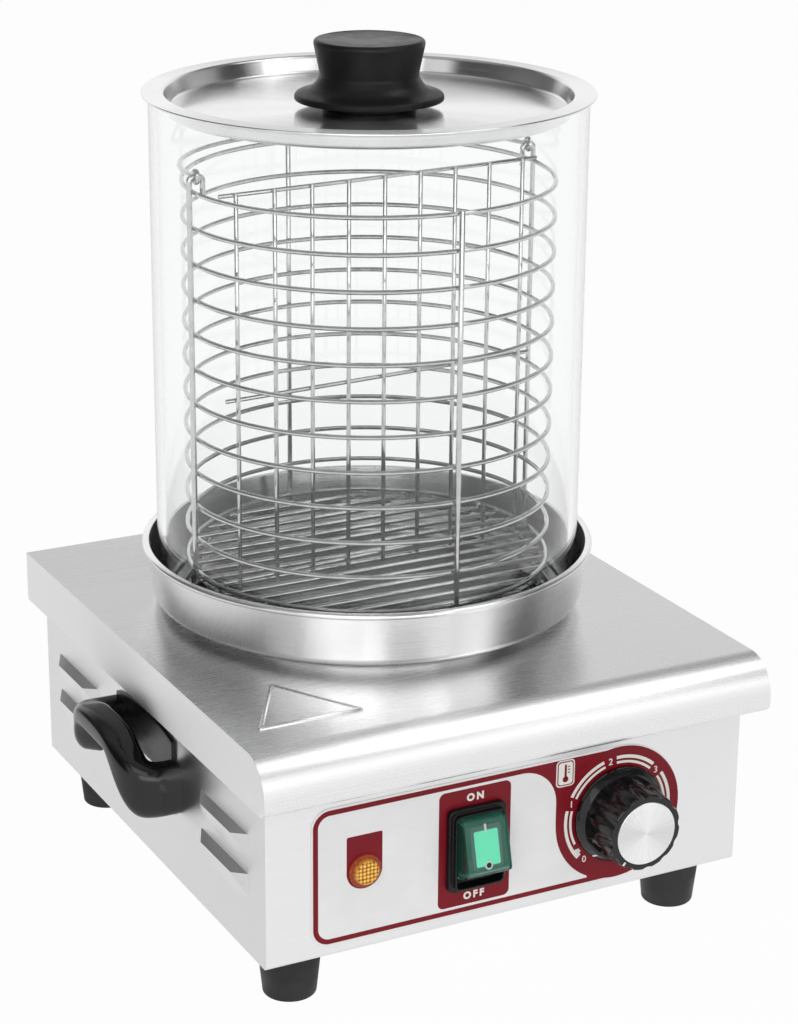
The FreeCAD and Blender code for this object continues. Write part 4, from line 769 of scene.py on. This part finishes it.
# %% Basket uprights, two of them with a hook for the bail
upright_wire = 1.25 * MM
uprights_low, uprights_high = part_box("basket_uprights")
upright_radius = uprights_high.x - upright_wire
hook_top = uprights_high.z - upright_wire
hook_bend, hook_width, hook_drop = 1.9 * MM, 6.1 * MM, 10 * MM
upright_top = ring_last + 1.9 * MM
bm = bmesh.new()
for angle in (90, 270):
    straight_wire(bm, polar(upright_radius, angle, uprights_low.z),
                  polar(upright_radius, angle, upright_top), upright_wire)
for angle in (0, 180):
    inwards = polar(-1, angle, 0) - axis
    about = up.cross(inwards)
    moves = [("run", hook_top - uprights_low.z - hook_bend), ("bend", hook_bend, 90, about),
             ("run", hook_width - 2 * hook_bend), ("bend", hook_bend, 90, about),
             ("run", hook_drop - hook_bend)]
    bent_wire(bm, polar(upright_radius, angle, uprights_low.z), up, upright_wire, moves)
wire_piece(bm, "basket_uprights", "basket_upright_wires")

# %% Divider
divider_wire = 1.0 * MM
turn = math.radians(4.5)
along = Vector((math.cos(turn), math.sin(turn), 0))
across = Vector((math.sin(turn), -math.cos(turn), 0))
divider_middle = Vector((axis.x, axis.y - 14 * MM, 0))
middle_wire = cover_top + 113.96 * MM
frame_low, frame_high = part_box("divider_frame")
bars_low, bars_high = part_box("divider_bars")
offset = divider_middle - axis
slide = offset.dot(along)
bm = bmesh.new()
for height, radius in ((frame_high.z - divider_wire, ring_radius), (middle_wire, ring_radius - 2.1 * MM),
                       (frame_low.z + divider_wire, ring_radius)):
    reach = math.sqrt(radius ** 2 - offset.length ** 2 + slide ** 2)
    centre = divider_middle + up * height
    straight_wire(bm, centre - along * (slide + reach), centre + along * (reach - slide), divider_wire)
wire_piece(bm, "divider_frame", "divider_frame_wires")

bm = bmesh.new()
bar_count = 9
bar_pitch = 2 * ring_radius / bar_count
base = divider_middle + across * (2 * divider_wire + 0.02 * MM)
for index in range(bar_count):
    foot = base + along * ((index - (bar_count - 1) / 2) * bar_pitch)
    straight_wire(bm, foot + up * bars_low.z, foot + up * bars_high.z, divider_wire)
wire_piece(bm, "divider_bars", "divider_bar_wires")
print("divider bars every", round(bar_pitch / MM, 2), "mm")

# %% Rack of the pan
rack_low, rack_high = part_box("rack_bars")
rack_wire = (rack_high.z - rack_low.z) / 2
rack_z = rack_high.z - rack_wire
rack_count = 15
rack_reach = 86.3 * MM
rack_pitch = 2 * rack_reach / (rack_count + 0.69)
bm = bmesh.new()
for index in range(rack_count):
    y = (index - (rack_count - 1) / 2) * rack_pitch
    centre = axis + Vector((0, y, rack_z))
    out = Vector((math.sqrt(rack_reach ** 2 - y ** 2), 0, 0))
    straight_wire(bm, centre - out, centre + out, rack_wire)
wire_piece(bm, "rack_bars", "rack_bar_wires")

ring_low, ring_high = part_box("rack_ring")
thick = (ring_high.z - ring_low.z) / 2
bm = bmesh.new()
wire_ring(bm, axis + up * (ring_low.z + thick), ring_high.x - axis.x - thick, thick)
wire_piece(bm, "rack_ring", "rack_ring_wire")

# %% [markdown]
# ## Folding bail
# The basket is lifted by a half-round bail. Each of its ends is an eye round a hook, so it swings about
# the line through both hooks. It is built level and then turned down to where it rests on the rear
# upright, exactly as the CAD model lays it.

# %% Bail
bail_wire = 1.1 * MM
rest_gap = 0.25 * MM
bail_radius = upright_radius - hook_width / 2
eye_radius = upright_wire + rest_gap + bail_wire
shank = 4.9 * MM
hooks = axis + up * hook_top
quarter = ("bend", bail_radius, 90, up)
end_run = ("run", shank - eye_radius)
bm = bmesh.new()
bent_wire(bm, hooks + Vector((bail_radius, eye_radius, 0)), Vector((0, 1, 0)), bail_wire,
          [end_run, quarter, quarter, end_run])
for side in (-1, 1):
    wire_ring(bm, hooks + Vector((side * bail_radius, 0, 0)), eye_radius, bail_wire,
              Matrix.Rotation(math.pi / 2, 4, "Y"), 28)
rest_turn = math.asin((hook_top - upright_top - bail_wire - rest_gap) / (bail_radius + shank))
bmesh.ops.rotate(bm, verts=bm.verts, cent=hooks, matrix=Matrix.Rotation(-rest_turn, 3, "X"))
wire_piece(bm, "bail_handle", "bail_wire")
print("bail rests", round(math.degrees(rest_turn), 2), "degrees below level")

# %% [markdown]
# ## Raised triangle
# A triangle is pressed up in the cover, with a rounded ridge along its edge. The CAD model has the low
# step; the ridge is three rods sunk into the step, with a ball at each corner.

# %% Ridge of the triangle
ridge, ridge_above_cover = 1.1 * MM, 0.05 * MM
corners = [Vector((x * MM, y * MM, cover_top + ridge_above_cover))
           for x, y in ((-114, -105.35), (-63, -105.35), (-88.5, -61.85))]
centre = sum(corners, Vector()) / 3
corners = [centre + (corner - centre) * 0.93 for corner in corners]
bm = bmesh.new()
for start, end in zip(corners, corners[1:] + corners[:1]):
    straight_wire(bm, start, end, ridge, 20)
    bmesh.ops.create_uvsphere(bm, u_segments=20, v_segments=12, radius=ridge,
                              matrix=Matrix.Translation(start))
make_piece("triangle_ridge", bm, cover_steel, body="housing")

# %% [markdown]
# ## Print on the front film
# The print is built as stacked thin layers, the way a screen printer works: a red field that leaves a
# thin white margin, a pale panel over it, and red plaques over that. Each layer starts from a few
# corners, a vertex bevel rounds them, the outline is filled, and an extrude gives it the thickness of
# ink. Heights are measured from the underside of the housing.

# %% Helpers for print
ink = 0.05 * MM


def box_corners(x, z, half_width, half_height, rounding):
    """Corners of a rectangle about a place, each with its rounding."""
    return [(x + side * half_width, z + rise * half_height, rounding)
            for side, rise in ((-1, -1), (1, -1), (1, 1), (-1, 1))]


def ink_outline(bm, corners, level, holes=()):
    """Fills an outline of (x, height, rounding) corners in millimetres as a layer of ink."""
    lines = []
    for outline in (corners, *holes):
        lines += corner_line(bm, outline, lambda x, z: (x * MM, film_face, housing_low + z * MM), 14)
    filled = bmesh.ops.triangle_fill(bm, use_beauty=True, use_dissolve=False, edges=edges_of(lines))
    thicken(bm, [item for item in filled["geom"] if isinstance(item, bmesh.types.BMFace)], level)


def thicken(bm, faces, level):
    """Gives flat print its height over the film."""
    faces, verts = extruded(bm, faces)
    bmesh.ops.translate(bm, verts=verts, vec=(0, -ink * level, 0))


def dial_band(bm, inner, outer, first, last, level):
    """Part of a ring round the dial, between two angles."""
    first, last = math.radians(first), math.radians(last)
    ends = [bm.verts.new((dial.x + r * MM * math.cos(first), film_face, dial.z + r * MM * math.sin(first)))
            for r in (inner, outer)]
    edge = bm.edges.new(ends)
    steps = max(3, round(abs(last - first) * 20))
    before = set(bm.faces)
    bmesh.ops.spin(bm, geom=ends + [edge], axis=(0, 1, 0), cent=(dial.x, film_face, dial.z),
                   angle=first - last, steps=steps, use_merge=last - first == math.tau,
                   use_duplicate=False)
    thicken(bm, [face for face in bm.faces if face not in before], level)


def close_print(name, bm, finish, body="housing"):
    bmesh.ops.remove_doubles(bm, verts=bm.verts, dist=0.001 * MM)
    bmesh.ops.recalc_face_normals(bm, faces=bm.faces)
    return make_piece(name, bm, finish, body=body)


print("ink is", ink / MM, "mm high per level")

# %% Layers of ink, all with holes for the lamp, the switch and the dial's shaft
lamp_hole = box_corners(lamp_x, control_height, 5.9, 5.9, 5.89)
switch_hole = box_corners(switch_x, control_height, 12.6, 18.3, 0.5)
shaft_hole = box_corners(dial.x / MM, control_height, 10, 10, 9.99)
bm = bmesh.new()
ink_outline(bm, [(-98.2, 6.3, 8), (88.0, 6.3, 31.9), (88.0, 70.2, 31.9), (-98.2, 70.2, 8)], 1,
            [lamp_hole, switch_hole, shaft_hole])
close_print("print_red_field", bm, red_ink)

bm = bmesh.new()
ink_outline(bm, [(-95.8, 8.7, 5.6), (40, 8.7, 0), (40, 38.5, 0), (22.6, 38.5, 0), (22.5, 67.8, 17.8),
                 (-95.8, 67.8, 5.6)], 2, [lamp_hole, switch_hole])
close_print("print_pale_panel", bm, panel_white)

bm = bmesh.new()
ink_outline(bm, box_corners(-19.05, 38.25, 18.05, 28.25, 3), 3, [switch_hole])
ink_outline(bm, [(-82.15, 29.6, 8.5), (-64.85, 29.6, 8.5), (-64.85, 55.5, 0.8), (-82.15, 55.5, 0.8)], 3,
            [lamp_hole])
dial_band(bm, 10, 32.5, 0, 360, 3)
close_print("print_red_plaques", bm, red_ink)

# %% [markdown]
# ## Scale of the dial and lettering
# The scale is two bright bands that run round the dial, with gaps where the numbers stand. A band is
# one short edge that is spun round the dial's axis. The numbers and the words ON and OFF are text
# objects: each is made a mesh first, and its place is then given to the vertices, so that the
# finished piece sits at the origin like all others.

# %% Bands of the scale
bm = bmesh.new()
for inner, outer, start in ((26.6, 28.2, 222), (24.3, 25.5, 207)):
    for first, last in ((start, 167), (153, 107), (93, 48), (34, -3.4)):
        dial_band(bm, inner, outer, first, last, 4)
dial_band(bm, 25.4, 26.7, 222, 213, 4)
dial_band(bm, 24.4, 25.5, 219, 214, 4)
close_print("print_scale_bands", bm, white_ink)

# %% Lettering
def letter_mesh(bm, words, x, z, size, level=4, weight=0.05):
    """Adds words, centred at a place in millimetres, standing on the film."""
    text = bpy.data.curves.new(words, "FONT")
    text.body = words
    text.size = size * MM
    text.align_x = "CENTER"
    text.align_y = "CENTER"
    text.offset = weight * size * MM
    text.extrude = ink * level
    text.resolution_u = 4
    text.space_character = 1.45
    holder = bpy.data.objects.new(words, text)
    mesh = bpy.data.meshes.new_from_object(holder)
    place = Matrix.Translation((x * MM, film_face, z * MM))
    mesh.transform(place @ Matrix.Rotation(math.pi / 2, 4, "X"))
    bm.from_mesh(mesh)
    bpy.data.objects.remove(holder)
    bpy.data.meshes.remove(mesh)


bm = bmesh.new()
letter_mesh(bm, "ON", switch_x, housing_low / MM + 61.9, 4.7)
letter_mesh(bm, "OFF", switch_x, housing_low / MM + 14.0, 4.7)
digits_radius = 26.2
for digit, angle in (("0", 229.6), ("1", 160), ("2", 100), ("3", 41)):
    turn = math.radians(angle)
    letter_mesh(bm, digit, dial.x / MM + digits_radius * math.cos(turn),
                dial.z / MM + digits_radius * math.sin(turn), 4.6, weight=0.01)
make_piece("print_lettering", bm, white_ink, body="housing")

# %% [markdown]
# ## Pictogram
# Beside the scale stands a small thermometer in a rounded frame, drawn here from scratch: a white
# plate, a red line inside its edge, a bulb and a stem.

# %% Pictogram
for name, half_width, half_height, rounding, level, finish in (
        ("plate", 4.75, 6.5, 2, 4, white_ink), ("line", 4.15, 5.9, 1.6, 5, red_ink),
        ("ground", 3.65, 5.4, 1.4, 6, white_ink)):
    bm = bmesh.new()
    ink_outline(bm, box_corners(26.95, 63.5, half_width, half_height, rounding), level)
    close_print(f"print_pictogram_{name}", bm, finish)
bm = bmesh.new()
ink_outline(bm, box_corners(26.95, 60.65, 1.45, 1.45, 1.35), 7)
ink_outline(bm, [(26.4, 61.5, 0), (27.5, 61.5, 0), (27.5, 67.9, 0.5), (26.4, 67.9, 0.5)], 7)
for height in (63.825, 65.225, 66.625):
    ink_outline(bm, box_corners(28.6, height, 0.6, 0.225, 0), 7)
close_print("print_thermometer", bm, red_ink)

# %% [markdown]
# ## Marks on the rocker and the dial
# The rocker has a lit window on a darker ground, a stroke at its upper end and a ring at its lower end.
# They are built on the untilted rocker and then tilted with it by the angle at which it rests. The dial
# shows its setting with two white ticks, one on the skirt and one on the front edge.

# %% Marks on the rocker
rocker_face = front_plane - 11.8
rocker_pivot = Vector((0, (front_plane + 5.0) * MM, dial.z))
tilt = Matrix.Rotation(math.radians(-14), 3, "X")


def rocker_plate(bm, corners, front, depth):
    """Rounded plate on the rocker's face, from corners about its middle, in millimetres."""
    line = corner_line(bm, corners, lambda x, z: ((switch_x + x) * MM, front * MM, dial.z + z * MM), 6)
    faces = bmesh.ops.contextual_create(bm, geom=edges_of(line))["faces"]
    faces, verts = extruded(bm, faces)
    bmesh.ops.translate(bm, verts=verts, vec=(0, depth * MM, 0))


def on_rocker(name, bm, finish):
    bmesh.ops.rotate(bm, verts=bm.verts, cent=rocker_pivot, matrix=tilt)
    bmesh.ops.recalc_face_normals(bm, faces=bm.faces)
    return make_piece(name, bm, finish, body="rocker")


bm = bmesh.new()
rocker_plate(bm, box_corners(0, 0.1, 7.6, 9.5, 1), rocker_face - 0.12, 0.4)
on_rocker("rocker_ground", bm, ground_grey)
bm = bmesh.new()
rocker_plate(bm, box_corners(0, -0.5, 6, 8, 0.8), rocker_face - 0.25, 0.6)
on_rocker("rocker_window", bm, mint_glow)
bm = bmesh.new()
rocker_plate(bm, box_corners(0, 8.3, 0.55, 2, 0.3), rocker_face - 0.35, 0.7)
ring_centre = Vector((switch_x * MM, (rocker_face - 0.2) * MM, dial.z - 8.4 * MM))
facing = Matrix.Rotation(math.pi / 2, 4, "X")
wire_ring(bm, ring_centre, 1.55 * MM, 0.42 * MM, facing, 32, 8)
on_rocker("rocker_marks", bm, white_ink)
bm = bmesh.new()
bmesh.ops.create_cone(bm, cap_ends=True, segments=32, radius1=1.3 * MM, radius2=1.3 * MM, depth=0.3 * MM,
                      matrix=Matrix.Translation(ring_centre) @ facing)
on_rocker("rocker_dot", bm, black_satin)

# %% Ticks on the dial
dial_turn = math.radians(230)
outwards = Vector((math.cos(dial_turn), 0, math.sin(dial_turn)))
bm = bmesh.new()
skirt_slope = math.atan2(3.0, 2.2)
for radius, reach, distance, lean in ((21.9, 2.6, 5.05, skirt_slope), (16.9, 1.8, 24.6, 0.0)):
    middle = dial + outwards * (radius * MM) + Vector((0, (front_plane - distance) * MM, 0))
    place = (Matrix.Translation(middle) @ Matrix.Rotation(-dial_turn, 4, "Y") @ Matrix.Rotation(lean, 4, "Z")
             @ Matrix.Diagonal((reach * MM, 0.3 * MM, 1.1 * MM, 1)))
    bmesh.ops.create_cube(bm, size=1, matrix=place)
bmesh.ops.bevel(bm, geom=bm.edges[:], offset=0.08 * MM, offset_type="OFFSET", segments=1, affect="EDGES",
                profile=0.5, material=-1)
make_piece("dial_ticks", bm, white_ink, body="knob")

# %% [markdown]
# ## Floor and light
# The photograph was taken on plain white paper in a bright studio. The floor is pale and keeps a faint
# contact shadow. The camera sees a plain pale world. Reflections see screens and dark gaps between
# them, each at its own direction of the compass: they give the pan, the lid and the wires their bright
# and dark bands. Higher up the world is an even, darker grey.

# %% Floor
seen_white, reflected_white = 0.97, 0.75    # share of plain white in what rays see of the paper
paper = bpy.data.materials.new("paper")
paper.use_nodes = True
paper.node_tree.nodes.clear()
matt = add(paper, "ShaderNodeBsdfDiffuse", {"Color": (0.86, 0.86, 0.86, 1)})
glow = add(paper, "ShaderNodeEmission", {"Color": (1, 1, 1, 1), "Strength": 1.0})
ray = add(paper, "ShaderNodeLightPath")
seen = math_of(paper, "MAXIMUM", ray.outputs["Is Camera Ray"], ray.outputs["Is Transmission Ray"])
share = math_of(paper, "MAXIMUM", math_of(paper, "MULTIPLY", seen, seen_white),
                math_of(paper, "MULTIPLY", ray.outputs["Is Glossy Ray"], reflected_white))
blend = add(paper, "ShaderNodeMixShader", {0: share, 1: matt.outputs[0], 2: glow.outputs[0]})
add(paper, "ShaderNodeOutputMaterial", {"Surface": blend.outputs[0]})
bm = bmesh.new()
bmesh.ops.create_grid(bm, x_segments=2, y_segments=2, size=6.0)
floor_mesh = bpy.data.meshes.new("studio_floor")
bm.to_mesh(floor_mesh)
bm.free()
floor_mesh.materials.append(paper)
studio_floor = bpy.data.objects.new("studio_floor", floor_mesh)
bpy.context.scene.collection.objects.link(studio_floor)

# %% World
world = bpy.data.worlds.new("studio")
bpy.context.scene.world = world
world.use_nodes = True
world.node_tree.nodes.clear()
direction = add(world, "ShaderNodeTexCoord").outputs["Generated"]
split = add(world, "ShaderNodeSeparateXYZ", {0: direction})


def grey_ramp(value, greys):
    """Grey at places from 0 to 1."""
    ramp = add(world, "ShaderNodeValToRGB", {"Fac": value})
    stops = ramp.color_ramp.elements
    for stop, (position, grey) in zip(stops, (greys[0], greys[-1])):
        stop.position, stop.color = position, (grey, grey, grey, 1)
    for position, grey in greys[1:-1]:
        stops.new(position).color = (grey, grey, grey, 1)
    return ramp.outputs["Color"]


around = math_of(world, "ARCTAN2", split.outputs["Y"], split.outputs["X"])
compass = add(world, "ShaderNodeMapRange", {"Value": around, "From Min": -math.pi, "From Max": math.pi})
# (direction in degrees, from +X towards +Y, grey)
screens = [(-180, 0.05), (-172, 0.08), (-164, 0.95), (-49, 0.95), (-42, 0.4), (-36, 0.02), (-22, 0.03),
           (-12, 0.30), (20, 0.42), (32, 0.85), (60, 1.0), (100, 1.0), (112, 0.16), (180, 0.05)]
low_band = grey_ramp(compass.outputs["Result"], [(angle / 360 + 0.5, grey) for angle, grey in screens])
high_band = grey_ramp(split.outputs["Z"], [(0.0, 0.20), (0.60, 0.12), (1.0, 0.50)])
lift = add(world, "ShaderNodeMapRange", {"Value": split.outputs["Z"], "From Min": 0.38, "From Max": 0.62})
sky = add(world, "ShaderNodeMix", {"Factor": lift.outputs["Result"]}, data_type="RGBA")
world.node_tree.links.new(low_band, sky.inputs["A"])
world.node_tree.links.new(high_band, sky.inputs["B"])
ray = add(world, "ShaderNodeLightPath")
plain = add(world, "ShaderNodeBackground", {"Color": (0.982, 0.982, 0.982, 1), "Strength": 1.0})
studio = add(world, "ShaderNodeBackground", {"Color": sky.outputs["Result"], "Strength": 1.0})
blend = add(world, "ShaderNodeMixShader", {0: ray.outputs["Is Camera Ray"], 1: studio.outputs[0],
                                           2: plain.outputs[0]})
add(world, "ShaderNodeOutputWorld", {"Surface": blend.outputs[0]})

# %% Lamps
def soft_box(name, place, aim, width, height, power):
    light = bpy.data.lights.new(name, "AREA")
    light.shape = "RECTANGLE"
    light.size = width
    light.size_y = height
    light.energy = power
    lamp = bpy.data.objects.new(name, light)
    lamp.location = place
    lamp.rotation_euler = (Vector(aim) - Vector(place)).to_track_quat("-Z", "Y").to_euler()
    bpy.context.scene.collection.objects.link(lamp)
    return lamp


soft_box("key_box", (-1.4, -1.7, 1.7), (0, 0, 0.2), 1.8, 1.2, 9)
soft_box("fill_box", (0.9, -2.1, 1.4), (0, 0, 0.2), 1.6, 1.2, 4)
soft_box("top_box", (0.95, -0.5, 1.9), (0, 0, 0.2), 1.0, 0.8, 5)
soft_box("front_box", (-0.6, -2.1, 0.40), (0, 0, 0.2), 2.6, 0.7, 10)

# %% [markdown]
# ## Camera
# The camera stands where the photographer stood: in front, to the left and a little above, far enough
# away for a long lens. The picture is taller than wide, so the sensor is fitted to its height. A
# slight roll of half a degree matches the picture's own tilt.

# %% Camera
roll = math.radians(0.497)
lens = bpy.data.cameras.new("photo_camera")
lens.sensor_fit = "VERTICAL"
lens.sensor_height = 36.0
lens.lens = 93.49
lens.clip_end = 50.0
eye = Vector((-0.54158, -1.05047, 0.59237))
aim = Vector((0.000525, -0.01389, 0.18096))
camera = bpy.data.objects.new("photo_camera", lens)
facing = (aim - eye).to_track_quat("-Z", "Y").to_matrix().to_4x4()
camera.matrix_world = Matrix.Translation(eye) @ facing @ Matrix.Rotation(roll, 4, "Z")
bpy.context.scene.collection.objects.link(camera)
bpy.context.scene.camera = camera
bpy.context.scene.view_settings.view_transform = "Standard"
print("camera", round((aim - eye).length, 3), "m from the aim")
